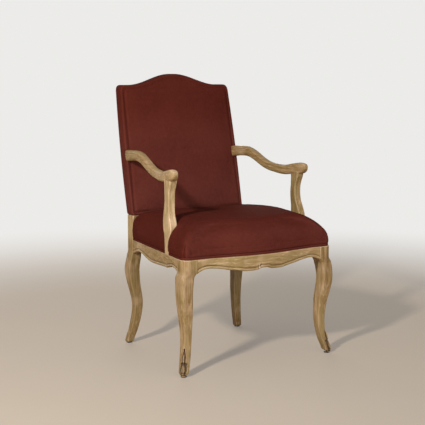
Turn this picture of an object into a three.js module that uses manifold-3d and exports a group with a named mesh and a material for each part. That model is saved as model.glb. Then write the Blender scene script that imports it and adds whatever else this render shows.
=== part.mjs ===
import * as THREE from 'three';
import { mergeVertices } from 'three/addons/utils/BufferGeometryUtils.js';
import Module from 'manifold-3d';

const wasm = await Module();
wasm.setup();

// An open armchair with a bowed, scalloped seat frame, cabriole legs, a humped upholstered back and a
// domed fixed seat. Millimetres, Z up from the floor, Y zero at mid depth with the front towards -Y.

// The whole chair
const halfDepth = 339.5;
const frontHalfWidth = 312;
const rearHalfWidth = 248.5;
const railTop = 404;
const backBottom = 497;
const humpTop = 1027;
const humpRise = 42;
const rakeShare = 0.213;
const gap = 0.3;
const overrun = 2;

// Seat frame
const frontBow = 26;
const bowHalfSpan = 250;
const railThickness = 24;
const railDepth = 54;
const archRise = 19;
const frontCornerRadius = 28;
const legBlock = 52;
const sideFrontSetback = 1;
const sideRearSetback = 2;
const rearRailSetback = 2;
const railEdgeRound = 4;
const tenonThickness = 10;
const tenonLength = 22;
const sideTenonLength = 18;
const tenonHeight = 26;
const tenonTopShoulder = 7;

// Front legs
const frontSwing = 31;
const frontShankSetback = 12;
const blockLowShare = 0.88;
const arrisRound = 8;

// Rear legs and back posts
const rearPost = 40;
const rearSwing = 33;
const rearShankInset = 3.5;
const rearShankForward = 9.5;
const rearArrisRound = 6;
const stileWidth = 36;
const stileThickness = 28;
const stileSideCover = 4;

// Feet
const glideRadius = 11;
const glideHeight = 4;
const glideEdge = 1;
const glidePinRadius = 1.6;
const glidePinLength = 14;

// Back frame
const crestDepth = 60;
const crestCover = 6;
const lowerRailDepth = 40.5;
const backRailThickness = 24;
const crestTenonHeight = 20;

// Arms
const armOverhang = 34.2;
const armRear = 238;
const armSpread = 38;
const armHigh = 725.5;
const armDrop = 56.5;
const armWidth = 30;
const armHeight = 38;
const armEdgeRound = 6;
const armTenonRadius = 5;
const armTenonInset = 8.5;
const armTenonBite = 14;
const armEndClearance = 2.6;

// Arm supports
const supportDepth = 54;
const supportSetback = 150;
const supportWidth = 28;
const supportRise = 250;
const supportLean = 22.5;
const supportTuck = 12;
const supportRound = 4;
const supportDowelRadius = 4.5;
const supportDowelLength = 18;
const supportTenonLength = 20;

// Screws
const screwRadius = 2;
const screwHeadRadius = 4;
const screwHeadHeight = 2.4;
const blockScrewLength = 28;
const blockScrewStand = 13;
const armScrewLength = 34;
const supportScrewLength = 18;
const pocketClearance = 1;

// Corner blocks and the cloth under the seat
const blockReach = 60;
const blockHeight = 27.5;
const blockDrop = 4;
const blockScrewPlace = 22;
const clothThickness = 1;

// Webbing
const strapWidth = 50;
const strapThickness = 1.5;
const strapInset = 14;
const strapStep = 22;
const lengthStrapSpacing = 96;
const backStrapInset = 3;

// Seat upholstery
const seatApex = 527;
const seatEdge = 440;
const seatApexSetback = 237.5;
const seatRearFall = 30;
const seatFrontFall = 16;
const seatFallSpan = 240;
const seatBoxingInset = 6;
const seatBulge = 3;
const seatCentreSetback = 267.5;
const frontShoulder = 95;
const sideShoulder = 50;
const rearShoulder = 74;
const rearCornerShoulder = 28;
const cornerShoulder = 60;
const seatCornerSpreadShare = 0.3;
const shoulderShare = 1.9;
const cornerShoulderShare = 1.6;
const seatRearRound = 14;
const coverThickness = 1.5;
const padClearance = 0.5;
const foamLift = 4.2;
const supportClearance = 1;

// Edge band round the foot of the seat cover
const bandHeight = 8;
const bandThickness = 3.2;
const bandInset = 3.8;

// Back upholstery
const backTopHalfWidth = 241;
const backBottomHalfWidth = 249;
const humpHalfSpan = 190;
const backTopRound = 18;
const backBottomRound = 8;
const backCentreZ = 745;
const backSideDepth = 45;
const backRoll = 13;
const backCrown = 15;
const outsideBackThickness = 1.6;
const outsideBackInset = 3;
const backRimDepth = 2;

const shoulderTop = humpTop - humpRise;
const frontPlane = frontBow - halfDepth;
const blockX = frontHalfWidth - legBlock / 2;
const blockY = frontPlane + legBlock / 2;
const blockInnerX = frontHalfWidth - legBlock;
const blockRearY = frontPlane + legBlock;
const rearLine = (z) => halfDepth - rakeShare * (humpTop - outsideBackInset - z);
const postX = rearHalfWidth - rearPost / 2;
const postRearY = rearLine(backBottom + padClearance);
const postY = postRearY - rearPost / 2;
const postFrontY = postRearY - rearPost;
const postInnerX = rearHalfWidth - rearPost;
const railInnerY = frontPlane + railThickness;
const rearRailOuterY = postRearY - rearRailSetback;
const rearRailInnerY = rearRailOuterY - railThickness;
const legFoot = glideHeight + gap;
const tenonMiddleZ = railTop - tenonTopShoulder - tenonHeight / 2;
const blockTop = railTop - blockDrop;
const blockFoot = blockTop - blockHeight;
const supportFootY = frontPlane + supportSetback;
const armEndY = rearLine(armHigh) - backSideDepth - armEndClearance;
const armFrontY = supportFootY - armOverhang;
const armRun = armEndY - armFrontY;
const seatApexY = frontPlane + seatApexSetback;
const seatCentreY = frontPlane + seatCentreSetback;
const armTenonX = armRear - armTenonInset;

const oak = () => new THREE.MeshStandardMaterial({ color: 0xab8f63, roughness: 0.55, metalness: 0 });
const hiddenWood = () => new THREE.MeshStandardMaterial({ color: 0xb59d78, roughness: 0.8, metalness: 0 });
const steel = () => new THREE.MeshStandardMaterial({ color: 0x9a9a98, roughness: 0.35, metalness: 1 });
const glideNylon = () => new THREE.MeshStandardMaterial({ color: 0x2b2622, roughness: 0.6, metalness: 0 });
const webbing = () => new THREE.MeshStandardMaterial({ color: 0x8a7a60, roughness: 0.95, metalness: 0 });
const foam = () => new THREE.MeshStandardMaterial({ color: 0xd8cfae, roughness: 1, metalness: 0 });
const coverCloth = () => new THREE.MeshStandardMaterial({ color: 0x5c2822, roughness: 0.85, metalness: 0 });
const blackCloth = () => new THREE.MeshStandardMaterial({ color: 0x1c1b1a, roughness: 0.95, metalness: 0 });

const chair = new THREE.Group();

function add(name, geometry, material) {
  const mesh = new THREE.Mesh(geometry, material);
  mesh.name = name;
  chair.add(mesh);
  return mesh;
}

// A closed surface from points and triangles, turned so that its faces point out
function closedGeometry(points, triangles) {
  let volume = 0;
  const cross = new THREE.Vector3();
  for (const [a, b, c] of triangles) {
    volume += points[a].dot(cross.crossVectors(points[b], points[c]));
  }
  const index = volume > 0 ? triangles.flat() : triangles.map(([a, b, c]) => [a, c, b]).flat();
  const geometry = new THREE.BufferGeometry();
  geometry.setAttribute('position', new THREE.Float32BufferAttribute(points.flatMap((p) => p.toArray()), 3));
  geometry.setIndex(index);
  geometry.computeVertexNormals();
  return geometry;
}

function middle(ring) {
  const sum = new THREE.Vector3();
  ring.forEach((p) => sum.add(p));
  return sum.divideScalar(ring.length);
}

// Rings of equal count joined one to the next, closed at both ends by a fan
function loft(rings, firstTip = middle(rings[0]), lastTip = middle(rings[rings.length - 1])) {
  const points = rings.flat();
  const count = rings[0].length;
  const triangles = [];
  for (let row = 0; row < rings.length - 1; row += 1) {
    for (let i = 0; i < count; i += 1) {
      const a = row * count + i;
      const b = row * count + (i + 1) % count;
      triangles.push([a, b, b + count], [a, b + count, a + count]);
    }
  }
  const last = (rings.length - 1) * count;
  points.push(firstTip, lastTip);
  for (let i = 0; i < count; i += 1) {
    const next = (i + 1) % count;
    triangles.push([next, i, points.length - 2], [last + i, last + next, points.length - 1]);
  }
  return closedGeometry(points, triangles);
}

// A rectangle's outline with each corner rounded, corners in the order ++, -+, --, +-
function roundedRectangle(halfX, halfY, radii, steps) {
  const corners = [[1, 1], [-1, 1], [-1, -1], [1, -1]];
  return corners.flatMap(([signX, signY], corner) => {
    const radius = Math.min(radii[corner], halfX, halfY);
    const count = steps[corner];
    return Array.from({ length: count + 1 }, (_, i) => {
      const angle = (corner + i / count) * Math.PI / 2;
      const x = signX * (halfX - radius) + radius * Math.cos(angle);
      return [x, signY * (halfY - radius) + radius * Math.sin(angle)];
    });
  });
}

function toSolid(geometry) {
  const bare = geometry.clone();
  bare.deleteAttribute('normal');
  bare.deleteAttribute('uv');
  const merged = mergeVertices(bare);
  return new wasm.Manifold(new wasm.Mesh({
    numProp: 3,
    vertProperties: new Float32Array(merged.attributes.position.array),
    triVerts: new Uint32Array(merged.index.array),
  }));
}

function toGeometry(solid) {
  const mesh = solid.getMesh();
  const geometry = new THREE.BufferGeometry();
  geometry.setAttribute('position', new THREE.Float32BufferAttribute(mesh.vertProperties, 3));
  geometry.setIndex(Array.from(mesh.triVerts));
  geometry.computeVertexNormals();
  return geometry;
}

function cut(geometry, tools) {
  return toGeometry(tools.reduce((rest, tool) => rest.subtract(toSolid(tool)), toSolid(geometry)));
}

function join(geometry, others) {
  return toGeometry(others.reduce((rest, other) => rest.add(toSolid(other)), toSolid(geometry)));
}

// A box between two corners, grown by a clearance on every side
function boxBetween(low, high, clearance = 0) {
  const size = high.map((value, i) => Math.abs(value - low[i]) + 2 * clearance);
  const box = new THREE.BoxGeometry(...size);
  return box.translate(...high.map((value, i) => (value + low[i]) / 2));
}

// A round bar from one point to another
function bar(radius, from, to, sides = 10) {
  const start = new THREE.Vector3(...from);
  const along = new THREE.Vector3(...to).sub(start);
  const geometry = new THREE.CylinderGeometry(radius, radius, along.length(), sides);
  geometry.translate(0, along.length() / 2, 0);
  const turn = new THREE.Quaternion().setFromUnitVectors(THREE.Object3D.DEFAULT_UP, along.normalize());
  geometry.applyQuaternion(turn);
  return geometry.translate(...from);
}

// A flat outline of [x, y] points raised to a slab
function slab(outline, foot, height) {
  const shape = new THREE.Shape(outline.map(([x, y]) => new THREE.Vector2(x, y)));
  const geometry = new THREE.ExtrudeGeometry(shape, { depth: height, bevelEnabled: false });
  return geometry.translate(0, 0, foot);
}

const sides = [['left', -1], ['right', 1]];

// Seat frame in plan
function frontFace(x) {
  const along = Math.min(Math.abs(x) / bowHalfSpan, 1);
  return frontPlane - frontBow * Math.cos(along * Math.PI / 2) ** 2;
}

function sideOuter(y) {
  return THREE.MathUtils.mapLinear(y, blockRearY, postFrontY,
    frontHalfWidth - sideFrontSetback, rearHalfWidth - sideRearSetback);
}

const sideInner = (y) => sideOuter(y) - railThickness;

// Legs: height share of the rail top, swing share, side share of the block
const frontLegShares = [
  [0, 1, 0.535], [0.05, 0.87, 0.55], [0.124, 0.49, 0.575], [0.198, 0.22, 0.583], [0.272, 0.065, 0.595],
  [0.347, 0.02, 0.634], [0.42, 0.075, 0.692], [0.495, 0.185, 0.763], [0.57, 0.377, 0.838],
  [0.644, 0.567, 0.888], [0.718, 0.648, 0.913], [0.792, 0.565, 0.954], [0.842, 0.44, 0.99],
];
const rearLegShares = [
  [0, 1, 0.675], [0.05, 0.855, 0.69], [0.124, 0.533, 0.72], [0.198, 0.297, 0.75], [0.272, 0.112, 0.78],
  [0.347, 0.006, 0.81], [0.42, 0.027, 0.865], [0.495, 0.197, 0.912], [0.57, 0.394, 0.975],
  [0.644, 0.533, 1.06], [0.718, 0.59, 1.1], [0.792, 0.458, 1.09], [0.83, 0.36, 1.06],
];
const heightOf = (place) => THREE.MathUtils.mapLinear(place, 0, 1, legFoot, railTop);
const legSteps = [4, 2, 1, 2];

function legRing(side, facing, x, y, z, half, outerRadius, round) {
  const outline = roundedRectangle(half, half, [outerRadius, round, round / 2, round], legSteps);
  return outline.map(([u, v]) => new THREE.Vector3(side * (x + u), y + facing * v, z));
}

function frontLegBody(side) {
  const shankY = blockY + frontShankSetback;
  const rings = frontLegShares.map(([place, swing, size]) => {
    const offset = swing * frontSwing / Math.SQRT2;
    const outer = THREE.MathUtils.lerp(arrisRound * size, frontCornerRadius, Math.max(0, place) ** 4);
    return legRing(side, -1, blockX + offset, shankY - offset, heightOf(place), size * legBlock / 2,
      outer, arrisRound * size);
  });
  for (const place of [blockLowShare, (blockLowShare + 1) / 2, 1]) {
    rings.push(legRing(side, -1, blockX, blockY, heightOf(place), legBlock / 2,
      frontCornerRadius, arrisRound / 4));
  }
  return loft(rings);
}

function backHalfWidth(z) {
  return THREE.MathUtils.mapLinear(z, backBottom, shoulderTop, backBottomHalfWidth, backTopHalfWidth);
}

function stileRing(side, z, grow = 0) {
  const outerX = backHalfWidth(z) - stileSideCover;
  const rearY = rearLine(z) - outsideBackThickness - 2 * gap;
  const outline = roundedRectangle(stileWidth / 2 + grow, stileThickness / 2 + grow,
    legSteps.map(() => rearArrisRound / 2), legSteps);
  return outline.map(([u, v]) => new THREE.Vector3(
    side * (outerX - stileWidth / 2 + u), rearY - stileThickness / 2 + v, z));
}

const crestFoot = shoulderTop - crestDepth;

function rearLegBody(side) {
  const rings = rearLegShares.map(([place, swing, size]) => {
    const offset = swing * rearSwing / Math.SQRT2;
    return legRing(side, 1, postX - rearShankInset + offset, postY - rearShankForward + offset,
      heightOf(place), size * rearPost / 2, rearArrisRound, rearArrisRound);
  });
  for (const z of [railTop - railDepth, railTop, backBottom - gap]) {
    rings.push(legRing(side, 1, postX, postY, z, rearPost / 2, rearArrisRound, rearArrisRound / 2));
  }
  for (const z of [backBottom - gap, crestFoot - gap]) {
    rings.push(stileRing(side, z));
  }
  return loft(rings);
}

// Tenons and the mortises that take them: a tenon is centred across its rail and runs along X or Y
function tenonBox(side, [fromX, toX], [fromY, toY], middleZ, clearance) {
  const [low, high] = [middleZ - tenonHeight / 2, middleZ + tenonHeight / 2];
  return boxBetween([side * fromX, fromY, low], [side * toX, toY, high], clearance);
}

const about = (middleOfTenon) => [middleOfTenon - tenonThickness / 2, middleOfTenon + tenonThickness / 2];

function frontTenon(side, clearance = 0) {
  const y = frontPlane + railThickness / 2;
  const run = [blockInnerX - overrun, blockInnerX + tenonLength];
  return tenonBox(side, run, about(y), tenonMiddleZ, clearance);
}

function sideTenon(side, faceY, direction, clearance = 0) {
  const x = sideInner(faceY) + railThickness / 2 + direction * tenonThickness / 4;
  const run = [faceY - direction * overrun, faceY + direction * sideTenonLength];
  return tenonBox(side, about(x), run, tenonMiddleZ, clearance);
}

function crossTenon(side, innerY, outerY, middleZ, clearance = 0) {
  const y = (innerY + outerY) / 2 + tenonThickness / 4;
  const run = [postInnerX - overrun, postInnerX + sideTenonLength];
  return tenonBox(side, run, about(y), middleZ, clearance);
}

const rearTenon = (side, clearance) =>
  crossTenon(side, rearRailInnerY, rearRailOuterY, tenonMiddleZ, clearance);

const lowerRailTop = backBottom - gap - padClearance;
const lowerRailMiddleZ = lowerRailTop - lowerRailDepth / 2;
const lowerRailRearY = postFrontY + backRailThickness;
const lowerTenon = (side, clearance) =>
  crossTenon(side, postFrontY, lowerRailRearY, lowerRailMiddleZ, clearance);

function crestTenon(side, clearance = 0) {
  const z = crestFoot + crestTenonHeight / 2;
  const x = backHalfWidth(z) - stileSideCover - stileWidth / 2;
  const y = rearLine(z) - outsideBackThickness - stileThickness / 2;
  return boxBetween(
    [side * (x - tenonThickness - clearance), y - tenonThickness / 2 - clearance, crestFoot - overrun],
    [side * (x + tenonThickness + clearance), y + tenonThickness / 2 + clearance,
      crestFoot + crestTenonHeight + clearance]);
}

// Feet
function footCentre(facing) {
  const offset = (facing < 0 ? frontSwing : rearSwing) / Math.SQRT2;
  return facing < 0
    ? [blockX + offset, blockY + frontShankSetback - offset]
    : [postX - rearShankInset + offset, postY - rearShankForward + offset];
}

function glideGeometry() {
  const profile = [
    [0, 0], [glideRadius - glideEdge, 0], [glideRadius, glideEdge], [glideRadius, glideHeight],
    [glidePinRadius, glideHeight], [glidePinRadius, glideHeight + glidePinLength],
    [0, glideHeight + glidePinLength],
  ];
  const geometry = new THREE.LatheGeometry(profile.map(([r, z]) => new THREE.Vector2(r, z)), 16);
  return geometry.rotateX(Math.PI / 2);
}

function glideBore(side, [x, y]) {
  return bar(glidePinRadius + gap, [side * x, y, 0], [side * x, y, glideHeight + glidePinLength + gap]);
}

// Screws: the head's seat lies at the origin, the shank runs along +Y before the screw is placed
function screwGeometry(length) {
  const profile = [
    [0, -screwHeadHeight], [screwHeadRadius - screwHeadHeight / 2, -screwHeadHeight], [screwHeadRadius, 0],
    [screwRadius, 0], [screwRadius, length - screwRadius], [0, length],
  ];
  return new THREE.LatheGeometry(profile.map(([r, z]) => new THREE.Vector2(r, z)), 8);
}

function placeScrew(name, length, seat, direction) {
  const screw = add(name, screwGeometry(length), steel());
  screw.position.set(...seat);
  screw.quaternion.setFromUnitVectors(THREE.Object3D.DEFAULT_UP, new THREE.Vector3(...direction));
}

const moved = (point, direction, distance) => point.map((value, i) => value + direction[i] * distance);

function screwBore(seat, direction, length) {
  return bar(screwRadius + gap, moved(seat, direction, -overrun), moved(seat, direction, length + gap), 8);
}

// Corner blocks, one inside each corner of the seat frame
function cornerPoints(facing) {
  if (facing < 0) {
    const x = blockInnerX - gap;
    const y = blockRearY + gap;
    return [
      [x - blockReach, railInnerY + gap], [x, railInnerY + gap], [x, y], [sideInner(y) - gap, y],
      [sideInner(y + blockReach) - gap, y + blockReach],
    ];
  }
  const x = postInnerX - gap;
  const y = postFrontY - gap;
  return [
    [x - blockReach, rearRailInnerY - gap], [x, rearRailInnerY - gap], [x, y], [sideInner(y) - gap, y],
    [sideInner(y - blockReach) - gap, y - blockReach],
  ];
}

function blockScrews(side, facing) {
  const points = cornerPoints(facing);
  const z = blockFoot + blockHeight / 2;
  const crossX = points[0][0] + blockScrewPlace;
  const alongY = points[4][1] + facing * blockScrewPlace;
  return [
    { seat: [side * crossX, points[0][1] - facing * blockScrewStand, z], direction: [0, facing, 0] },
    { seat: [side * (sideInner(alongY) - blockScrewStand), alongY, z], direction: [side, 0, 0] },
  ];
}

function screwPocket({ seat, direction }) {
  return bar(screwHeadRadius + pocketClearance, seat, moved(seat, direction, -blockReach));
}

function cornerBlock(side, facing) {
  const outline = cornerPoints(facing).map(([x, y]) => [side * x, y]);
  const screws = blockScrews(side, facing);
  return cut(slab(outline, blockFoot, blockHeight), [
    ...screws.map(({ seat, direction }) => screwBore(seat, direction, blockScrewLength)),
    ...screws.map(screwPocket),
  ]);
}

const frameScrewBores = (side, facing, which) => {
  const { seat, direction } = blockScrews(side, facing)[which];
  return screwBore(seat, direction, blockScrewLength);
};

// Seat rails: place share along the rail, lower edge share of the arch's rise
const frontEdgeShares = [
  [0, 0.37], [0.06, 0.34], [0.115, 0.06], [0.29, 0], [0.41, 0.26], [0.53, 0.45], [0.64, 0.74],
  [0.77, 0.96], [0.83, 1], [0.9, 0.9], [0.96, 0.62], [1, 0.3],
];
const sideEdgeShares = [
  [0, 0.42], [0.044, 0.74], [0.1, 0.96], [0.156, 0.92], [0.2, 0.74], [0.222, 0.55], [0.258, 0.53],
  [0.345, 0.42], [0.456, 0.26], [0.572, 0.21], [0.676, 0.47], [0.772, 0.79], [0.848, 0.97],
  [0.888, 0.87], [0.934, 0.58], [1, 0.1],
];

function railSection(outer, inner, foot) {
  return [
    [outer, railTop], [outer, foot + railEdgeRound], [outer - railEdgeRound / 4, foot + railEdgeRound / 4],
    [outer - railEdgeRound, foot], [inner, foot], [inner, railTop],
  ];
}

function frontRail() {
  const reach = blockInnerX - gap;
  const leftHalf = frontEdgeShares.slice(1).map(([place, edge]) => [-place, edge]).reverse();
  const stations = [...leftHalf, ...frontEdgeShares];
  const rings = stations.map(([place, edge]) => {
    const x = place * reach;
    const section = railSection(-frontFace(x), -railInnerY, railTop - railDepth + edge * archRise);
    return section.map(([depth, z]) => new THREE.Vector3(x, -depth, z));
  });
  const body = join(loft(rings), sides.map(([, side]) => frontTenon(side)));
  return cut(body, sides.map(([, side]) => frameScrewBores(side, -1, 0)));
}

function sideRail(side) {
  const rings = sideEdgeShares.map(([place, edge]) => {
    const y = THREE.MathUtils.lerp(blockRearY + gap, postFrontY - gap, place);
    const section = railSection(sideOuter(y), sideInner(y), railTop - railDepth + edge * archRise);
    return section.map(([x, z]) => new THREE.Vector3(side * x, y, z));
  });
  const body = join(loft(rings), [sideTenon(side, blockRearY, -1), sideTenon(side, postFrontY, 1)]);
  return cut(body, [
    frameScrewBores(side, -1, 1), frameScrewBores(side, 1, 1),
    supportTenon(side, gap), supportScrewBore(side),
  ]);
}

function rearRail() {
  const reach = postInnerX - gap;
  const body = boxBetween([-reach, rearRailInnerY, railTop - railDepth], [reach, rearRailOuterY, railTop]);
  const joined = join(body, sides.map(([, side]) => rearTenon(side)));
  return cut(joined, sides.map(([, side]) => frameScrewBores(side, 1, 0)));
}

function lowerBackRail() {
  const reach = postInnerX - gap;
  const foot = lowerRailTop - lowerRailDepth;
  const body = boxBetween([-reach, postFrontY, foot], [reach, lowerRailRearY, lowerRailTop]);
  return join(body, sides.map(([, side]) => lowerTenon(side)));
}

// Outline of the back in X and Z, drawn in by an inset all round

function humpHeight(x) {
  const along = Math.min(Math.abs(x) / humpHalfSpan, 1);
  return shoulderTop + humpRise * Math.cos(along * Math.PI / 2) ** 2;
}

function arc(centreX, centreY, radius, from, to, steps) {
  return Array.from({ length: steps + 1 }, (_, i) => {
    const angle = THREE.MathUtils.degToRad(THREE.MathUtils.lerp(from, to, i / steps));
    return [centreX + radius * Math.cos(angle), centreY + radius * Math.sin(angle)];
  });
}

const mirrored = (half) => [...half, ...half.map(([x, y]) => [-x, y]).reverse()];
const backTopPlaceShares = [0.98, 0.8, 0.64, 0.5, 0.36, 0.22, 0.08];
const backSidePlaceShares = [0.15, 0.3, 0.45, 0.6, 0.75, 0.9];

function backOutline(inset) {
  const lowRound = backBottomRound - Math.min(inset, backBottomRound / 2);
  const highRound = backTopRound - Math.min(inset, backTopRound / 2);
  const foot = backBottom + inset;
  const lowX = backHalfWidth(backBottom) - inset;
  const highX = backHalfWidth(shoulderTop) - inset;
  const right = [
    [lowX / 3, foot],
    [lowX * 2 / 3, foot],
    ...arc(lowX - lowRound, foot + lowRound, lowRound, -90, 0, 2),
    ...backSidePlaceShares.map((place) => [
      THREE.MathUtils.lerp(lowX, highX, place), THREE.MathUtils.lerp(foot, shoulderTop - inset, place)]),
    ...arc(highX - highRound, shoulderTop - inset - highRound, highRound, 0, 90, 3),
    ...backTopPlaceShares.map((place) => {
      const x = place * humpHalfSpan;
      return [x, humpHeight(x) - inset];
    }),
  ];
  return mirrored(right);
}

const backPoint = ([x, z], depth) => new THREE.Vector3(x, rearLine(z) - depth, z);

function towards([x, y], [centreX, centreY], distance) {
  const length = Math.hypot(x - centreX, y - centreY);
  const keep = Math.max(0, 1 - distance / length);
  return [centreX + (x - centreX) * keep, centreY + (y - centreY) * keep];
}

// Rings over the front of the back: a rolled edge, then a face that swells to the middle
const crownShares = [[0.17, 0.42], [0.45, 0.82], [0.75, 0.97]];

function backFrontRings(inset, startDepth) {
  const centre = [0, backCentreZ];
  const outline = backOutline(inset);
  const face = backSideDepth - inset;
  const rings = [outline.map((p) => backPoint(p, startDepth))];
  for (const turn of [0, 30, 60, 90]) {
    const angle = THREE.MathUtils.degToRad(turn);
    const drawn = backRoll * (1 - Math.cos(angle));
    const depth = face - backRoll * (1 - Math.sin(angle));
    rings.push(outline.map((p) => backPoint(towards(p, centre, drawn), depth)));
  }
  for (const [place, rise] of crownShares) {
    rings.push(outline.map((p) => {
      const spread = Math.hypot(p[0] - centre[0], p[1] - centre[1]);
      return backPoint(towards(p, centre, backRoll + place * (spread - backRoll)), face + rise * backCrown);
    }));
  }
  return { rings, tip: backPoint(centre, face + backCrown) };
}

// A skin: an outer dome, its inner twin, and a rim that joins them
function skin(outer, inner) {
  const count = outer.rings[0].length;
  const rings = [...[...outer.rings].reverse(), ...inner.rings];
  const points = [...rings.flat(), outer.tip, inner.tip];
  const triangles = [];
  for (let row = 0; row < rings.length - 1; row += 1) {
    for (let i = 0; i < count; i += 1) {
      const a = row * count + i;
      const b = row * count + (i + 1) % count;
      triangles.push([a, b, b + count], [a, b + count, a + count]);
    }
  }
  const last = (rings.length - 1) * count;
  for (let i = 0; i < count; i += 1) {
    const next = (i + 1) % count;
    triangles.push([next, i, points.length - 2], [last + i, last + next, points.length - 1]);
  }
  return closedGeometry(points, triangles);
}

function armBore(side) {
  const z = armHigh;
  const y = rearLine(z);
  return bar(armTenonRadius + gap, [side * armTenonX, y - backSideDepth - backCrown - overrun, z],
    [side * armTenonX, y - outsideBackThickness - stileThickness + armTenonBite + gap, z]);
}

// The cover's lower wall is cut round the posts that rise through it
function stileRoom(side) {
  const heights = [backBottom - overrun, backBottom + coverThickness + overrun];
  return loft(heights.map((z) => stileRing(side, z, padClearance)));
}

function backCover() {
  const shell = skin(backFrontRings(0, backRimDepth), backFrontRings(coverThickness, backRimDepth));
  return cut(shell, sides.flatMap(([, side]) => [armBore(side), stileRoom(side)]));
}

function backFoam() {
  const inset = coverThickness + padClearance;
  const foot = outsideBackThickness + 2 * gap + stileThickness + strapThickness + 2 * gap;
  const { rings, tip } = backFrontRings(inset, foot);
  const body = loft(rings, middle(rings[0]), tip);
  return cut(body, sides.map(([, side]) => armBore(side)));
}

// A flat board that leans with the back, between two depths
function leaningBoard(outline, nearDepth, farDepth) {
  const rings = [nearDepth, farDepth].map((depth) => outline.map((p) => backPoint(p, depth)));
  return loft(rings);
}

function crestRail() {
  const near = outsideBackThickness + 2 * gap;
  const reach = backHalfWidth(crestFoot) - stileSideCover;
  const right = [
    [reach, crestFoot],
    [reach, shoulderTop - crestCover - backTopRound],
    [reach - backTopRound, shoulderTop - crestCover],
    ...backTopPlaceShares.map((place) => place * humpHalfSpan).map((x) => [x, humpHeight(x) - crestCover]),
  ];
  const body = leaningBoard(mirrored(right), near, near + stileThickness);
  return cut(body, sides.map(([, side]) => crestTenon(side, gap)));
}

function backStrap(middleZ) {
  const near = outsideBackThickness + 3 * gap + stileThickness;
  const reach = backHalfWidth(middleZ) - stileSideCover - backStrapInset;
  const [low, high] = [middleZ - strapWidth / 2, middleZ + strapWidth / 2];
  const outline = [[-reach, low], [reach, low], [reach, high], [-reach, high]];
  return leaningBoard(outline, near, near + strapThickness);
}

function outsideBack() {
  return leaningBoard(backOutline(outsideBackInset), 0, outsideBackThickness);
}

// Arms: run share, drop share, spread share, width share, height share
const armShares = [
  [1, 0.08, 0, 1, 1.12], [0.93, 0.04, 0.06, 1, 1.02], [0.86, 0.01, 0.11, 1, 1], [0.79, 0.01, 0.145, 1, 0.96],
  [0.725, 0.1, 0.16, 1, 0.87], [0.655, 0.29, 0.2, 1, 0.8], [0.585, 0.53, 0.25, 1, 0.77],
  [0.515, 0.74, 0.31, 1, 0.78], [0.445, 0.88, 0.39, 1, 0.8], [0.375, 0.95, 0.49, 1, 0.83],
  [0.305, 1, 0.61, 1, 0.9], [0.235, 0.985, 0.72, 1.02, 0.97], [0.165, 0.9, 0.81, 1.06, 1.01],
  [0.11, 0.85, 0.87, 1.12, 1.08], [0.06, 0.82, 0.92, 1.14, 1.14], [0.022, 0.82, 0.95, 1.02, 0.98],
  [0, 0.83, 0.97, 0.6, 0.45],
];
const armSteps = [2, 2, 2, 2];

function armCentre([run, drop, spread]) {
  return [armRear + spread * armSpread, armFrontY + run * armRun, armHigh - drop * armDrop];
}

function armBody(side) {
  const centres = armShares.map(armCentre);
  const rings = armShares.map(([, , , width, height], row) => {
    const before = centres[Math.max(row - 1, 0)];
    const after = centres[Math.min(row + 1, centres.length - 1)];
    const tilt = Math.atan2(after[2] - before[2], before[1] - after[1]);
    const lean = row === 0 ? -Math.atan(rakeShare) : tilt;
    const halfHeight = row === 0 ? height * armHeight / 2 / Math.cos(lean) : height * armHeight / 2;
    const round = Math.min(armEdgeRound, halfHeight / 2);
    const outline = roundedRectangle(width * armWidth / 2, halfHeight, armSteps.map(() => round), armSteps);
    const [x, y, z] = centres[row];
    return outline.map(([u, v]) => new THREE.Vector3(
      side * (x + u), y + v * Math.sin(row === 0 ? -lean : lean), z + v * Math.cos(lean)));
  });
  return loft(rings);
}

function armTenon(side) {
  const z = armHigh;
  return bar(armTenonRadius, [side * armTenonX, armEndY - overrun * 2, z],
    [side * armTenonX, rearLine(z) - outsideBackThickness - stileThickness + armTenonBite, z]);
}

const armScrewSeat = (side) => [side * armTenonX, rearLine(armHigh) - outsideBackThickness - 3 * gap
  - screwHeadHeight, armHigh];

function armScrewBores(side) {
  const seat = armScrewSeat(side);
  return [
    screwBore(seat, [0, -1, 0], armScrewLength),
    bar(screwHeadRadius + gap, seat, moved(seat, [0, 1, 0], screwHeadHeight + overrun * 2)),
  ];
}

function arm(side) {
  const body = join(armBody(side), [armTenon(side)]);
  return cut(body, [armScrewBores(side)[0], supportDowel(side, gap)]);
}

// Arm supports: rise share, lean share, tuck share, width share, depth share
const supportShares = [
  [0, 0, 0, 1, 0.56], [0.143, 0.17, 0.1, 1, 0.57], [0.263, 0.25, 0.3, 1, 0.74], [0.343, 0.395, 0.45, 1, 0.97],
  [0.423, 0.56, 0.55, 1, 1], [0.483, 0.68, 0.6, 1, 0.89], [0.543, 0.82, 0.65, 1, 0.75],
  [0.623, 0.96, 0.85, 1, 0.63], [0.743, 1, 1, 1, 0.57], [0.863, 0.91, 0.95, 1, 0.58],
  [0.975, 0.71, 0.9, 1.04, 0.74], [1.035, 0.65, 0.9, 1.07, 0.82],
];

function supportCentre([rise, lean, tuck]) {
  const y = supportFootY + lean * supportLean;
  const footX = sideOuter(supportFootY) - supportWidth / 2;
  return [footX - tuck * supportTuck, y, railTop + gap + rise * supportRise];
}

function supportBody(side, grow = 0) {
  const rings = supportShares.map((row) => {
    const [x, y, z] = supportCentre(row);
    const outline = roundedRectangle(row[3] * supportWidth / 2 + grow, row[4] * supportDepth / 2 + grow,
      armSteps.map(() => supportRound), armSteps);
    return outline.map(([u, v]) => new THREE.Vector3(side * (x + u), y + v, z));
  });
  if (grow > 0) rings[0].forEach((p) => p.setZ(railTop - overrun));
  return loft(rings);
}

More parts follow.
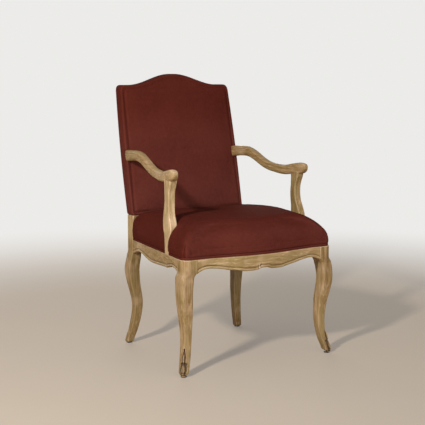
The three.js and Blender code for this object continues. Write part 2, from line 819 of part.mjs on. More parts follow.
function supportTenon(side, clearance = 0) {
  const [x, y] = supportCentre(supportShares[0]);
  return boxBetween(
    [side * (x - tenonThickness / 2 - clearance), y - supportTenonLength / 2 - clearance,
      railTop - tenonLength - clearance],
    [side * (x + tenonThickness / 2 + clearance), y + supportTenonLength / 2 + clearance,
      railTop + gap + (clearance > 0 ? 0 : overrun)]);
}

const dowelPlace = () => supportCentre(supportShares[supportShares.length - 2]);

function supportDowel(side, clearance = 0) {
  const [x, y, z] = dowelPlace();
  return bar(supportDowelRadius + clearance, [side * x, y, z - supportDowelLength],
    [side * x, y, z + supportDowelLength + clearance]);
}

const supportScrewSeat = (side) =>
  [side * (sideInner(supportFootY + screwHeadRadius) - gap), supportFootY, railTop - tenonLength / 2];
const supportScrewBore = (side) => screwBore(supportScrewSeat(side), [side, 0, 0], supportScrewLength);

function support(side) {
  const lowered = armBody(side).translate(0, 0, -gap);
  const body = cut(supportBody(side), [lowered]);
  return cut(join(body, [supportTenon(side), supportDowel(side)]), [supportScrewBore(side)]);
}

// Seat outline in plan, drawn in by an inset, from the front middle round to the rear
const seatFrontPlaceShares = [0.06, 0.2, 0.35, 0.5, 0.66, 0.83];
const seatSidePlaceShares = [0.1, 0.3, 0.5, 0.7, 0.88];
const seatRearY = rearRailOuterY - bandInset;
const bulgeZ = (railTop + bandHeight + seatEdge) / 2;

function seatOutline(inset) {
  const cornerX = frontHalfWidth - frontCornerRadius;
  const cornerY = frontPlane + frontCornerRadius;
  const frontX = frontHalfWidth - inset;
  const rearX = rearHalfWidth - sideRearSetback - inset;
  const rearY = postFrontY - supportClearance - inset / 4;
  const tuckX = postInnerX - supportClearance - inset / 4;
  const lastY = rearY - seatRearRound;
  const right = [
    ...seatFrontPlaceShares.map((place) => [place * cornerX, frontFace(place * cornerX) + inset]),
    ...arc(cornerX, cornerY, frontCornerRadius - inset, -90, 0, 4),
    ...seatSidePlaceShares.map((place) => [
      THREE.MathUtils.lerp(frontX, rearX, place), THREE.MathUtils.lerp(cornerY, lastY, place)]),
    ...arc(rearX - seatRearRound, lastY, seatRearRound, 0, 90, 2),
    [tuckX, rearY],
    [tuckX, seatRearY - inset],
    [tuckX / 2, seatRearY - inset],
  ];
  return mirrored(right);
}

// Rise of the seat's edge: shoulder share, height share at the front and sides, and under the back
const seatRiseShares = [[0.06, 0.02], [0.2, 0.06], [0.42, 0.16], [0.55, 0.7], [0.75, 0.92], [1, 1]];
const seatMiddleShares = [0.4, 0.75];

function seatDirection([x, y]) {
  const angle = Math.atan2(y - seatCentreY, Math.abs(x));
  const down = Math.max(0, -Math.sin(angle)) ** 2;
  const up = Math.max(0, Math.sin(angle));
  const cornerReach = frontCornerRadius / 2;
  const cornerAngle = Math.atan2(frontPlane + cornerReach - seatCentreY, frontHalfWidth - cornerReach);
  const corner = Math.exp(-(((angle - cornerAngle) / seatCornerSpreadShare) ** 2));
  return { down, up, corner, tucked: y > postFrontY, reach: Math.abs(Math.sin(angle)) };
}

function seatTop([x, y]) {
  const away = (y - seatApexY) / seatFallSpan;
  return seatApex - (away > 0 ? seatRearFall : seatFrontFall) * away ** 2;
}

function seatHeight(place, point, edge, { corner, tucked }, riseShare) {
  const power = THREE.MathUtils.lerp(shoulderShare, cornerShoulderShare, corner);
  const open = (1 - (1 - place) ** power) ** (1 / power);
  return edge + (seatTop(point) - edge) * (tucked ? riseShare : open);
}

function seatRings(inset, foot) {
  const centre = [0, seatCentreY];
  const outline = seatOutline(seatBoxingInset + inset);
  const drop = inset;
  const bulged = outline.map((p) => towards(p, centre, -seatBulge));
  const level = (points, z) => points.map(([x, y]) => new THREE.Vector3(x, y, z));
  const rings = [level(outline, foot), level(outline, railTop + bandHeight), level(bulged, bulgeZ)];
  rings.push(level(outline.map((p) => towards(p, centre, -seatBulge / 2)), seatEdge - drop));
  for (const [place, riseShare] of seatRiseShares) {
    rings.push(outline.map((p) => {
      const facts = seatDirection(p);
      const round = sideShoulder + (frontShoulder - sideShoulder) * facts.down
        + (rearCornerShoulder - sideShoulder) * facts.up + cornerShoulder * facts.corner;
      const shoulder = facts.tucked ? rearShoulder / facts.reach : round;
      const q = towards(p, centre, place * shoulder);
      return new THREE.Vector3(q[0], q[1], seatHeight(place, q, seatEdge, facts, riseShare) - drop);
    }));
  }
  const last = rings[rings.length - 1];
  for (const place of seatMiddleShares) {
    rings.push(last.map((p) => {
      const q = [p.x * (1 - place), THREE.MathUtils.lerp(p.y, seatCentreY, place)];
      return new THREE.Vector3(q[0], q[1], seatTop(q) - drop);
    }));
  }
  return { rings, tip: new THREE.Vector3(0, seatCentreY, seatTop(centre) - drop) };
}

// What the seat's upholstery is cut round: both arm supports and the lower back rail
function seatRoom() {
  const railFoot = lowerRailTop - lowerRailDepth;
  const farCorner = [postInnerX, lowerRailRearY, lowerRailTop];
  const rail = boxBetween([-postInnerX, postFrontY, railFoot], farCorner, padClearance);
  return [...sides.map(([, side]) => supportBody(side, supportClearance)), rail];
}

function seatCover() {
  const foot = railTop + gap;
  return cut(skin(seatRings(0, foot), seatRings(coverThickness, foot)), seatRoom());
}

function seatFoam() {
  const { rings, tip } = seatRings(coverThickness + padClearance, railTop + foamLift);
  return cut(loft(rings, middle(rings[0]), tip), seatRoom());
}

// The band is a strip that follows the seat outline between two places
const bandSteps = [1, 1, 1, 1];

function bandAlong(points) {
  const rings = points.map((p, i) => {
    const before = points[Math.max(i - 1, 0)];
    const after = points[Math.min(i + 1, points.length - 1)];
    const length = Math.hypot(after[0] - before[0], after[1] - before[1]);
    const normal = [(after[1] - before[1]) / length, (before[0] - after[0]) / length];
    const round = bandThickness / 3;
    const outline = roundedRectangle(bandThickness / 2, bandHeight / 2, [round, 0, 0, round], bandSteps);
    return outline.map(([u, v]) => new THREE.Vector3(
      p[0] + normal[0] * u, p[1] + normal[1] * u, railTop + gap + bandHeight / 2 + v));
  });
  return loft(rings);
}

const supportFootReach = supportShares[1][4] * supportDepth / 2 + 2 * supportClearance;
const supportFrontEdge = supportFootY - supportFootReach;
const supportRearEdge = supportFootY + supportFootReach;

function frontBand() {
  const inset = bandInset;
  const cornerX = frontHalfWidth - frontCornerRadius;
  const half = [
    ...seatFrontPlaceShares.map((place) => [place * cornerX, frontFace(place * cornerX) + inset]),
    ...arc(cornerX, frontPlane + frontCornerRadius, frontCornerRadius - inset, -90, 0, 5),
    [sideOuter(blockRearY) - inset, blockRearY],
    [sideOuter(supportFrontEdge) - inset, supportFrontEdge],
  ];
  return bandAlong([...half.map(([x, y]) => [-x, y]).reverse(), ...half]);
}

function sideBand(side) {
  const places = [supportRearEdge, postFrontY - supportClearance];
  const points = places.map((y) => [side * (sideOuter(y) - bandInset), y]);
  return bandAlong(side > 0 ? points : points.reverse());
}

function rearBand() {
  const reach = postInnerX - supportClearance;
  return bandAlong([[reach, seatRearY + bandThickness / 2], [-reach, seatRearY + bandThickness / 2]]);
}

// Webbing over the seat frame: straps run front to back, and straps cross them on top
function ribbon(path, width) {
  const lower = path.map(([u, z]) => [u, z]);
  const upper = path.map(([u, z]) => [u, z + strapThickness]).reverse();
  return slab([...lower, ...upper], -width / 2, width);
}

function lengthStrap(x) {
  const z = railTop + gap;
  const front = frontPlane + strapInset;
  const rear = rearRailOuterY - strapInset;
  return boxBetween([x - strapWidth / 2, front, z], [x + strapWidth / 2, rear, z + strapThickness]);
}

function crossStrap(y) {
  const low = railTop + gap;
  const high = low + strapThickness + gap;
  const reach = sideInner(y + strapWidth / 2) + railThickness / 2;
  const bend = lengthStrapSpacing * 1.5 + strapWidth / 2 + strapStep / 2;
  const half = [[bend, high], [bend + strapStep, low], [reach, low]];
  const path = [...half.map(([x, z]) => [-x, z]).reverse(), ...half];
  return ribbon(path, strapWidth).rotateX(Math.PI / 2).translate(0, y, 0);
}

// Black cloth inside the rails, just under the corner blocks
function dustCover() {
  const [front, rear] = [cornerPoints(-1), cornerPoints(1)];
  const right = [front[1], front[2], front[3], rear[3], rear[2], rear[1]];
  const outline = [...right, ...right.map(([x, y]) => [-x, y]).reverse()];
  return slab(outline, blockFoot - gap - clothThickness, clothThickness);
}

for (const [word, side] of sides) {
  const foot = footCentre(-1);
  const tools = [frontTenon(side, gap), sideTenon(side, blockRearY, -1, gap), glideBore(side, foot)];
  add(`front_leg_${word}`, cut(frontLegBody(side), tools), oak());
}

for (const [word, side] of sides) {
  const tools = [
    sideTenon(side, postFrontY, 1, gap), rearTenon(side, gap), lowerTenon(side, gap),
    glideBore(side, footCentre(1)), armBore(side), ...armScrewBores(side),
  ];
  add(`rear_leg_${word}`, cut(join(rearLegBody(side), [crestTenon(side)]), tools), oak());
}

add('front_seat_rail', frontRail(), oak());
for (const [word, side] of sides) add(`side_seat_rail_${word}`, sideRail(side), oak());
add('rear_seat_rail', rearRail(), oak());
add('lower_back_rail', lowerBackRail(), oak());
add('crest_rail', crestRail(), hiddenWood());
for (const [word, side] of sides) add(`arm_${word}`, arm(side), oak());
for (const [word, side] of sides) add(`arm_support_${word}`, support(side), oak());

for (const [end, facing] of [['front', -1], ['rear', 1]]) {
  for (const [word, side] of sides) {
    add(`corner_block_${end}_${word}`, cornerBlock(side, facing), hiddenWood());
    blockScrews(side, facing).forEach(({ seat, direction }, i) => {
      const kind = i === 0 ? end : 'side';
      placeScrew(`block_screw_${end}_${word}_${kind}`, blockScrewLength, seat, direction);
    });
    const glide = add(`foot_glide_${end}_${word}`, glideGeometry(), glideNylon());
    const [x, y] = footCentre(facing);
    glide.position.set(side * x, y, 0);
  }
}

for (const [word, side] of sides) {
  placeScrew(`arm_screw_${word}`, armScrewLength, armScrewSeat(side), [0, -1, 0]);
  placeScrew(`support_screw_${word}`, supportScrewLength, supportScrewSeat(side), [side, 0, 0]);
}

[-1.5, -0.5, 0.5, 1.5].forEach((place, i) => {
  add(`seat_strap_length_${i + 1}`, lengthStrap(place * lengthStrapSpacing), webbing());
});
const crossStrapPlaceShares = [0.06, 0.37, 0.61, 0.85];
crossStrapPlaceShares.forEach((place, i) => {
  const y = THREE.MathUtils.lerp(blockRearY, postFrontY, place);
  add(`seat_strap_cross_${i + 1}`, crossStrap(y), webbing());
});
const screwRoom = strapWidth / 2 + screwHeadRadius + pocketClearance;
const lowStrapPlaceShares = [0.52, 0.88];
const highStrapPlaceShares = [0.19];
const backStrapHeights = [
  ...lowStrapPlaceShares.map((place) => THREE.MathUtils.lerp(backBottom, armHigh - screwRoom, place)),
  ...highStrapPlaceShares.map((place) => THREE.MathUtils.lerp(armHigh + screwRoom, shoulderTop, place)),
];
backStrapHeights.forEach((z, i) => {
  add(`back_strap_${i + 1}`, backStrap(z), webbing());
});

add('seat_foam', seatFoam(), foam());
add('seat_cover', seatCover(), coverCloth());
add('seat_band_front', frontBand(), coverCloth());
for (const [word, side] of sides) add(`seat_band_${word}`, sideBand(side), coverCloth());
add('seat_band_rear', rearBand(), coverCloth());
add('dust_cover', dustCover(), blackCloth());
add('back_foam', backFoam(), foam());
add('back_cover', backCover(), coverCloth());
add('outside_back', outsideBack(), coverCloth());

export default chair;
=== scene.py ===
import bmesh
import bpy
import math
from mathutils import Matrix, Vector
from mathutils.kdtree import KDTree


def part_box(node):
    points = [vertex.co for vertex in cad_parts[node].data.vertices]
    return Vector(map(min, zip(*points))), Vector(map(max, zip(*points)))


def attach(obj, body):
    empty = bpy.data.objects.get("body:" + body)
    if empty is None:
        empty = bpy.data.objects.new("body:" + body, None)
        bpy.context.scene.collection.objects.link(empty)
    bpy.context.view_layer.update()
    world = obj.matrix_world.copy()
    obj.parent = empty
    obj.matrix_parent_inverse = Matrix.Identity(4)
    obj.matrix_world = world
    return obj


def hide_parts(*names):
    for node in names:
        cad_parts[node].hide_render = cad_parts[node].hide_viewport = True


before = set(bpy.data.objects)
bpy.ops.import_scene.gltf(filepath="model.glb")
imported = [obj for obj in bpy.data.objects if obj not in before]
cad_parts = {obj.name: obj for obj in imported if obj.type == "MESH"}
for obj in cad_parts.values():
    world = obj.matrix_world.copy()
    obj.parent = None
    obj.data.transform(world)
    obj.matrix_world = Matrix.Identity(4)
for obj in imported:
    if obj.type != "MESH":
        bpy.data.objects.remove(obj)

scene = bpy.context.scene
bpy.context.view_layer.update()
print("frame loaded")

# lengths of the whole chair in millimetres, as the frame has them; the front faces -Y
chair = {
    "halfDepth": 339.5, "frontHalfWidth": 312.0, "rearHalfWidth": 248.5, "railTop": 404.0,
    "backBottom": 497.0, "shoulderTop": 985.0, "humpTop": 1027.0, "humpSpan": 190.0, "rake": 0.213,
    "rakeTop": 1024.0, "frontBow": 26.0, "bowSpan": 250.0, "sideHalfWidths": (311.0, 246.5),
    "backHalfWidths": (249.0, 241.0), "backBulge": 4.5, "legBlock": 52.0, "rearPost": 40.0,
    "railThickness": 24.0, "legFoot": 4.3, "gap": 0.3,
}
metre = 1000  # millimetres
frontPlane = chair["frontBow"] - chair["halfDepth"]
blockX = chair["frontHalfWidth"] - chair["legBlock"] / 2
blockY = frontPlane + chair["legBlock"] / 2
blockRearY = frontPlane + chair["legBlock"]
sideNames = (("left", -1), ("right", 1))


def rearLine(z):  # the raked line of the chair's rear
    return chair["halfDepth"] - chair["rake"] * (chair["rakeTop"] - z)


postRearY = rearLine(chair["backBottom"] + 0.5)
postFrontY = postRearY - chair["rearPost"]


def frontFace(x):  # the bowed front of the seat frame
    along = min(abs(x) / chair["bowSpan"], 1)
    return frontPlane - chair["frontBow"] * math.cos(along * math.pi / 2) ** 2


def sideOuter(y):  # half width of the seat frame at a depth
    front, rear = chair["sideHalfWidths"]
    share = (y - blockRearY) / (postFrontY - blockRearY)
    return front + share * (rear - front)


def backHalfWidth(z):
    low, high = chair["backHalfWidths"]
    share = (z - chair["backBottom"]) / (chair["shoulderTop"] - chair["backBottom"])
    bulge = chair["backBulge"] * math.sin(math.pi * min(max(share, 0), 1))
    return low + share * (high - low) + bulge


def humpHeight(x):
    along = min(abs(x) / chair["humpSpan"], 1)
    rise = chair["humpTop"] - chair["shoulderTop"]
    return chair["shoulderTop"] + rise * math.cos(along * math.pi / 2) ** 2


def smooth(low, high, value):
    t = min(max((value - low) / (high - low), 0), 1)
    return t * t * (3 - 2 * t)


def read(rows, place, column):  # a smooth value between the rows of a table
    if place <= rows[0][0]:
        return rows[0][column]
    if place >= rows[-1][0]:
        return rows[-1][column]
    i = max(k for k in range(len(rows) - 1) if rows[k][0] <= place)
    span = rows[i + 1][0] - rows[i][0]
    t = (place - rows[i][0]) / span

    def slope(k):
        a, b = rows[max(k - 1, 0)], rows[min(k + 1, len(rows) - 1)]
        return (b[column] - a[column]) / (b[0] - a[0]) * span

    return ((2 * t ** 3 - 3 * t * t + 1) * rows[i][column] + (t ** 3 - 2 * t * t + t) * slope(i)
            + (3 * t * t - 2 * t ** 3) * rows[i + 1][column] + (t ** 3 - t * t) * slope(i + 1))


def spread(low, high, step):
    count = max(1, round((high - low) / step))
    return [low + (high - low) * i / count for i in range(count + 1)]


# outline of a bar with rounded corners ++, -+, --, +-, its points crowded round the first corner or even
def cornered(halfX, halfY, radii, arcSteps, sideSteps, crowd=1):
    signs = ((1, 1), (-1, 1), (-1, -1), (1, -1))
    arcs = []
    for k, (signX, signY) in enumerate(signs):
        radius = min(radii[k], halfX - 0.2, halfY - 0.2)
        arcs.append([(signX * (halfX - radius) + radius * math.cos((k + i / arcSteps[k]) * math.pi / 2),
                      signY * (halfY - radius) + radius * math.sin((k + i / arcSteps[k]) * math.pi / 2))
                     for i in range(arcSteps[k] + 1)])
    points = []
    for k, arc in enumerate(arcs):
        points += arc
        (x0, y0), (x1, y1) = arc[-1], arcs[(k + 1) % 4][0]
        steps = sideSteps[k]
        for i in range(1, steps):
            t = (i / steps) ** crowd if k == 0 else 1 - (1 - i / steps) ** crowd if k == 3 else i / steps
            points.append((x0 + (x1 - x0) * t, y0 + (y1 - y0) * t))
    return points


# a ring of edges extruded from one outline to the next, in millimetres; a 4th value darkens a cut with painted
# shade, or marks a dark joint
def loft(rings):
    bm = bmesh.new()
    carved = bm.verts.layers.float.new("carved")
    ring = [bm.verts.new(Vector(p[:3]) / metre) for p in rings[0]]
    count = len(ring)
    edges = [bm.edges.new((ring[i], ring[(i + 1) % count])) for i in range(count)]
    bmesh.ops.contextual_create(bm, geom=edges)
    for outline in rings[1:]:
        grown = set(v for v in bmesh.ops.extrude_edge_only(bm, edges=edges)["geom"]
                    if isinstance(v, bmesh.types.BMVert))
        ring = [next(e.other_vert(v) for e in v.link_edges if e.other_vert(v) in grown) for v in ring]
        for v, p in zip(ring, outline):
            v.co = Vector(p[:3]) / metre
            v[carved] = p[3] if len(p) > 3 else 0
        edges = [bm.edges.get((ring[i], ring[(i + 1) % count])) for i in range(count)]
    bmesh.ops.contextual_create(bm, geom=edges)
    bmesh.ops.recalc_face_normals(bm, faces=bm.faces[:])
    bm.normal_update()
    return bm


def strokeDepth(point, strokes):  # how deep a carver's strokes go at a place, both in millimetres
    depth = 0
    for path, width, cut in strokes:
        near = 1e9
        for (x0, y0), (x1, y1) in zip(path, path[1:]):
            dx, dy = x1 - x0, y1 - y0
            t = min(max(((point[0] - x0) * dx + (point[1] - y0) * dy) / max(dx * dx + dy * dy, 1e-9), 0), 1)
            near = min(near, math.hypot(point[0] - x0 - t * dx, point[1] - y0 - t * dy))
        if near < 3 * width:
            depth += cut * math.exp(-(near / width) ** 2)
    return depth


# edges stand above 0 and hollows below, for the finish to paint lighter edges and darker hollows, partly wear
# and dirt and partly painted highlight and painted shade; the given place function paints light or shade,
# making a place paler or darker
def markWearAndShade(bm, reach=0.0035, paintedLightAt=None):
    bm.normal_update()
    wearAndShade = bm.verts.layers.float.new("wearAndShade")
    carved = bm.verts.layers.float.get("carved")
    if paintedLightAt:
        tone = bm.verts.layers.float.new("tone")
        for v in bm.verts:
            v[tone] = paintedLightAt(v.co * metre, v.normal)
    raw = {}
    for v in bm.verts:
        total = 0
        for e in v.link_edges:
            d = e.other_vert(v).co - v.co
            total -= 2 * v.normal.dot(d) / max(d.length_squared, 1e-10)
        raw[v] = total / max(len(v.link_edges), 1) * reach
    for v in bm.verts:
        around = [raw[e.other_vert(v)] for e in v.link_edges]
        bend = 0.5 * raw[v] + 0.5 * sum(around) / max(len(around), 1)
        # the carved value darkens a place further: painted shade in a cut, a dark line at a joint
        v[wearAndShade] = max(-1, min(1, bend - (v[carved] if carved else 0)))


def finishPiece(name, bm, material, standsFor=(), sharpAngle=50):
    mesh = bpy.data.meshes.new(name)
    bm.to_mesh(mesh)
    bm.free()
    mesh.materials.append(material)
    mesh.shade_smooth()
    if sharpAngle:
        mesh.set_sharp_from_angle(angle=math.radians(sharpAngle))
    piece = bpy.data.objects.new(name, mesh)
    scene.collection.objects.link(piece)
    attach(piece, "root")
    if standsFor:
        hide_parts(*standsFor)
    return piece


def setSocket(tree, socket, value):  # a link from another socket, or a fixed value
    if isinstance(value, bpy.types.NodeSocket):
        tree.links.new(value, socket)
    else:
        socket.default_value = value


def addNode(tree, kind, inputs=None, **settings):
    node = tree.nodes.new(kind)
    for key, value in settings.items():
        setattr(node, key, value)
    for key, value in (inputs or {}).items():
        setSocket(tree, node.inputs[key], value)
    return node


def colour(red, green, blue):  # a colour as a picture shows it, turned to the values that a shader takes
    return tuple((c / 255 / 12.92 if c / 255 <= 0.04045 else ((c / 255 + 0.055) / 1.055) ** 2.4)
                 for c in (red, green, blue)) + (1,)


def newMaterial(name):
    material = bpy.data.materials.new(name)
    material.use_nodes = True
    tree = material.node_tree
    return material, tree, tree.nodes["Principled BSDF"]


def objectPlace(tree):
    return addNode(tree, "ShaderNodeTexCoord").outputs["Object"]


def readLayer(tree, name, output="Fac"):  # a value that the mesh carries
    return addNode(tree, "ShaderNodeAttribute", attribute_name=name).outputs[output]


def stretched(tree, place, scale):
    return addNode(tree, "ShaderNodeMapping", {"Vector": place, "Scale": scale}).outputs[0]


def noiseAt(tree, place, scale, detail, more=None):
    inputs = {"Vector": place, "Scale": scale, "Detail": detail, **(more or {})}
    return addNode(tree, "ShaderNodeTexNoise", inputs).outputs["Fac"]


def mixColours(tree, factor, first, second):  # inputs 6 and 7 of a mix node are its colours
    inputs = {0: factor, 6: first, 7: second}
    return addNode(tree, "ShaderNodeMix", inputs, data_type="RGBA", clamp_factor=True).outputs[2]


def mapValue(tree, value, low, high, toLow=0.0, toHigh=1.0):
    inputs = {"Value": value, "From Min": low, "From Max": high, "To Min": toLow, "To Max": toHigh}
    return addNode(tree, "ShaderNodeMapRange", inputs).outputs["Result"]


def combine(tree, operation, first, second):
    return addNode(tree, "ShaderNodeMath", {0: first, 1: second}, operation=operation).outputs[0]


def layColours(tree, base, layers):  # a layer's colour comes in as its value goes from low to high
    for value, low, high, share, tint in layers:
        base = mixColours(tree, mapValue(tree, value, low, high, 0, share), base, colour(*tint))
    return base


def paintLightAndShade(tree, shader, base, darkSaturation):  # the mesh's tone layer is painted light and shade, making a piece paler or darker
    tone = readLayer(tree, "tone")
    inputs = {"Color": base, "Value": combine(tree, "ADD", tone, 1),
              "Saturation": mapValue(tree, tone, -0.4, 0.4, darkSaturation, 0.9)}
    toned = addNode(tree, "ShaderNodeHueSaturation", inputs)
    tree.links.new(toned.outputs[0], shader.inputs["Base Color"])


def addBump(tree, shader, height, strength, distance):
    bump = addNode(tree, "ShaderNodeBump", {"Strength": strength, "Distance": distance, "Height": height})
    tree.links.new(bump.outputs[0], shader.inputs["Normal"])


# limed oak: a tan ground with grey-brown grain, pale wax and painted highlight on the edges, and brown dirt
# and painted shade in the hollows
oak = {
    "ground": (165, 136, 95), "grain": (122, 94, 53), "greenish": (146, 125, 80), "limed": (203, 174, 142),
    "hollow": (66, 42, 18), "pore": (104, 78, 46), "roughness": 0.52, "bump": 0.35, "gloss": 0.35,
    "grainLength": 0.07, "poreLength": 0.035, "figureScale": 88, "broadScale": 30, "ringScale": 24,
    "fibreScale": 620, "poreScale": 1150, "streakScale": 230, "patchScale": 14,
}


def woodMaterial(name, turn, look):
    material, tree, shader = newMaterial(name)
    turned = addNode(tree, "ShaderNodeMapping", {"Vector": objectPlace(tree), "Rotation": turn}).outputs[0]
    long = stretched(tree, turned, (1, 1, look["grainLength"]))
    fine = stretched(tree, turned, (1, 1, look["poreLength"]))
    figure = noiseAt(tree, long, look["figureScale"], 5, {"Roughness": 0.6, "Distortion": 0.5})
    broad = noiseAt(tree, long, look["broadScale"], 3)
    inputs = {"Vector": long, "Scale": look["ringScale"], "Distortion": 9, "Detail": 3, "Detail Scale": 1.6}
    rings = addNode(tree, "ShaderNodeTexWave", inputs, wave_type="BANDS", bands_direction="DIAGONAL",
                    wave_profile="SAW").outputs["Fac"]
    fibres = noiseAt(tree, fine, look["fibreScale"], 3)
    pores = noiseAt(tree, fine, look["poreScale"], 2)
    streaks = noiseAt(tree, fine, look["streakScale"], 2)
    patches = noiseAt(tree, turned, look["patchScale"], 4)
    wearAndShade = readLayer(tree, "wearAndShade")
    base = layColours(tree, colour(*look["ground"]), (
        (figure, 0.44, 0.66, 1, look["grain"]), (broad, 0.44, 0.64, 0.85, look["greenish"]),
        (rings, 0.55, 1, 0.34, look["grain"]), (fibres, 0.5, 0.72, 0.4, look["pore"]),
        (patches, 0.5, 0.72, 0.5, look["limed"]), (streaks, 0.56, 0.7, 0.5, look["grain"]),
        (streaks, 0.44, 0.3, 0.55, look["limed"]),
    ))
    # pale wax and painted highlight on the rounded edges
    waxAndHighlight = combine(tree, "MULTIPLY", mapValue(tree, wearAndShade, 0.22, 0.95, 0, 0.8),
                  mapValue(tree, figure, 0.25, 0.6, 0.55, 1))
    base = mixColours(tree, waxAndHighlight, base, colour(*look["limed"]))
    # brown dirt and painted shade in the hollows and carved cuts
    base = layColours(tree, base, ((wearAndShade, -0.1, -0.7, 0.95, look["hollow"]),))
    paintLightAndShade(tree, shader, base, 1.1)
    rough = mapValue(tree, pores, 0.35, 0.7, look["roughness"] - 0.06, look["roughness"] + 0.2)
    tree.links.new(rough, shader.inputs["Roughness"])
    height = combine(tree, "ADD", combine(tree, "MULTIPLY", fibres, 0.6),
                     combine(tree, "MULTIPLY", mapValue(tree, pores, 0.56, 0.66), -0.5))
    addBump(tree, shader, height, look["bump"], 0.0005)
    shader.inputs["Specular IOR Level"].default_value = look["gloss"]
    return material


# the grain turns to each piece's length
acrossTurn, alongTurn = (0.3, math.radians(90), 0.02), (math.radians(90), 0.25, 0.02)
oakUp = woodMaterial("limedOakUpright", (0.02, 0.03, 0.4), oak)
oakAcross = woodMaterial("limedOakAcross", acrossTurn, oak)
oakAlong = woodMaterial("limedOakAlong", alongTurn, oak)

# plain frame wood where the upholstery hides it
plainWood = dict(oak, ground=(196, 170, 128), grain=(170, 138, 95), greenish=(186, 164, 120),
                 limed=(206, 184, 148), roughness=0.7)
beechAcross = woodMaterial("plainBeechAcross", acrossTurn, plainWood)

# brick red cotton-linen cloth, tightly pulled
cloth = {
    "thread": (92, 42, 34), "shade": (79, 34, 28), "slub": (103, 51, 42), "between": (52, 20, 16),
    "hollow": (44, 14, 10), "pitch": 0.0011, "roughness": 0.9, "gloss": 0.02, "sheen": 0.01,
    "sheenTint": (170, 84, 66), "bump": 0.5,
}


def clothMaterial(name, look):
    material, tree, shader = newMaterial(name)
    flat = readLayer(tree, "weave", "Vector")
    place = objectPlace(tree)
    axes = addNode(tree, "ShaderNodeSeparateXYZ", {"Vector": flat})
    wobble = combine(tree, "MULTIPLY", noiseAt(tree, flat, 260, 2), 2.4)
    threads = []
    for axis in ("X", "Y"):
        turns = combine(tree, "MULTIPLY", axes.outputs[axis], 2 * math.pi / look["pitch"])
        threads.append(combine(tree, "SINE", combine(tree, "ADD", turns, wobble), 0))
    weave = combine(tree, "ADD", combine(tree, "MULTIPLY", *threads),
                    combine(tree, "MULTIPLY", combine(tree, "ADD", *threads), 0.35))
    slubs = noiseAt(tree, stretched(tree, flat, (1, 0.06, 1)), 520, 2)
    wearAndShade = readLayer(tree, "wearAndShade")
    base = layColours(tree, colour(*look["thread"]), (
        (noiseAt(tree, place, 7, 4), 0.35, 0.68, 0.6, look["shade"]),
        (noiseAt(tree, place, 90, 3), 0.4, 0.7, 0.3, look["slub"]),
        (weave, 0.1, -1.2, 0.55, look["between"]), (slubs, 0.55, 0.75, 0.45, look["slub"]),
        # painted highlight on ridges and painted shade in creases and hollows
        (wearAndShade, 0.1, 0.9, 0.35, look["slub"]), (wearAndShade, -0.1, -0.8, 0.85, look["hollow"]),
    ))
    paintLightAndShade(tree, shader, base, 1.09)
    rough = mapValue(tree, weave, -1.4, 1.4, look["roughness"] + 0.1, look["roughness"] - 0.06)
    tree.links.new(rough, shader.inputs["Roughness"])
    shader.inputs["Sheen Weight"].default_value = look["sheen"]
    shader.inputs["Sheen Roughness"].default_value = 0.4
    shader.inputs["Sheen Tint"].default_value = colour(*look["sheenTint"])
    shader.inputs["Specular IOR Level"].default_value = look["gloss"]
    addBump(tree, shader, weave, look["bump"], 0.00025)
    return material


coverCloth = clothMaterial("brickCoverCloth", cloth)
liningLook = dict(cloth, thread=(34, 32, 31), shade=(26, 25, 25), slub=(52, 50, 48), pitch=0.0008, sheen=0.1)
liningCloth = clothMaterial("blackLiningCloth", liningLook)
juteLook = dict(cloth, thread=(150, 128, 92), shade=(126, 104, 72), slub=(176, 154, 118), pitch=0.0032,
                sheen=0.05, bump=0.9)
jute = clothMaterial("juteWebbing", juteLook)


def foamMaterial(name):
    material, tree, shader = newMaterial(name)
    place = objectPlace(tree)
    cells = addNode(tree, "ShaderNodeTexVoronoi", {"Vector": place, "Scale": 900}).outputs["Distance"]
    tone = noiseAt(tree, place, 20, 3)
    base = layColours(tree, colour(226, 214, 178), ((tone, 0.3, 0.7, 1, (212, 196, 152)),))
    base = mixColours(tree, mapValue(tree, cells, 0.0, 0.6, 0.35, 0), base, colour(176, 158, 114))
    tree.links.new(base, shader.inputs["Base Color"])
    shader.inputs["Roughness"].default_value = 0.95
    addBump(tree, shader, cells, 0.5, 0.0006)
    return material


def metalMaterial(name):
    material, tree, shader = newMaterial(name)
    tone = noiseAt(tree, objectPlace(tree), 300, 4)
    base = mixColours(tree, tone, colour(150, 148, 140), colour(186, 184, 176))
    tree.links.new(base, shader.inputs["Base Color"])
    tree.links.new(mapValue(tree, tone, 0.3, 0.7, 0.28, 0.48), shader.inputs["Roughness"])
    shader.inputs["Metallic"].default_value = 1
    addBump(tree, shader, tone, 0.2, 0.0001)
    return material


def nylonMaterial(name):
    material, tree, shader = newMaterial(name)
    scuffs = noiseAt(tree, objectPlace(tree), 420, 5)
    base = layColours(tree, colour(30, 25, 21), ((scuffs, 0.5, 0.75, 1, (72, 62, 52)),))
    tree.links.new(base, shader.inputs["Base Color"])
    tree.links.new(mapValue(tree, scuffs, 0.3, 0.7, 0.42, 0.7), shader.inputs["Roughness"])
    addBump(tree, shader, scuffs, 0.3, 0.0002)
    return material


paddingFoam = foamMaterial("paddingFoam")
screwSteel = metalMaterial("screwSteel")
glideNylon = nylonMaterial("glideNylon")
print("materials made")

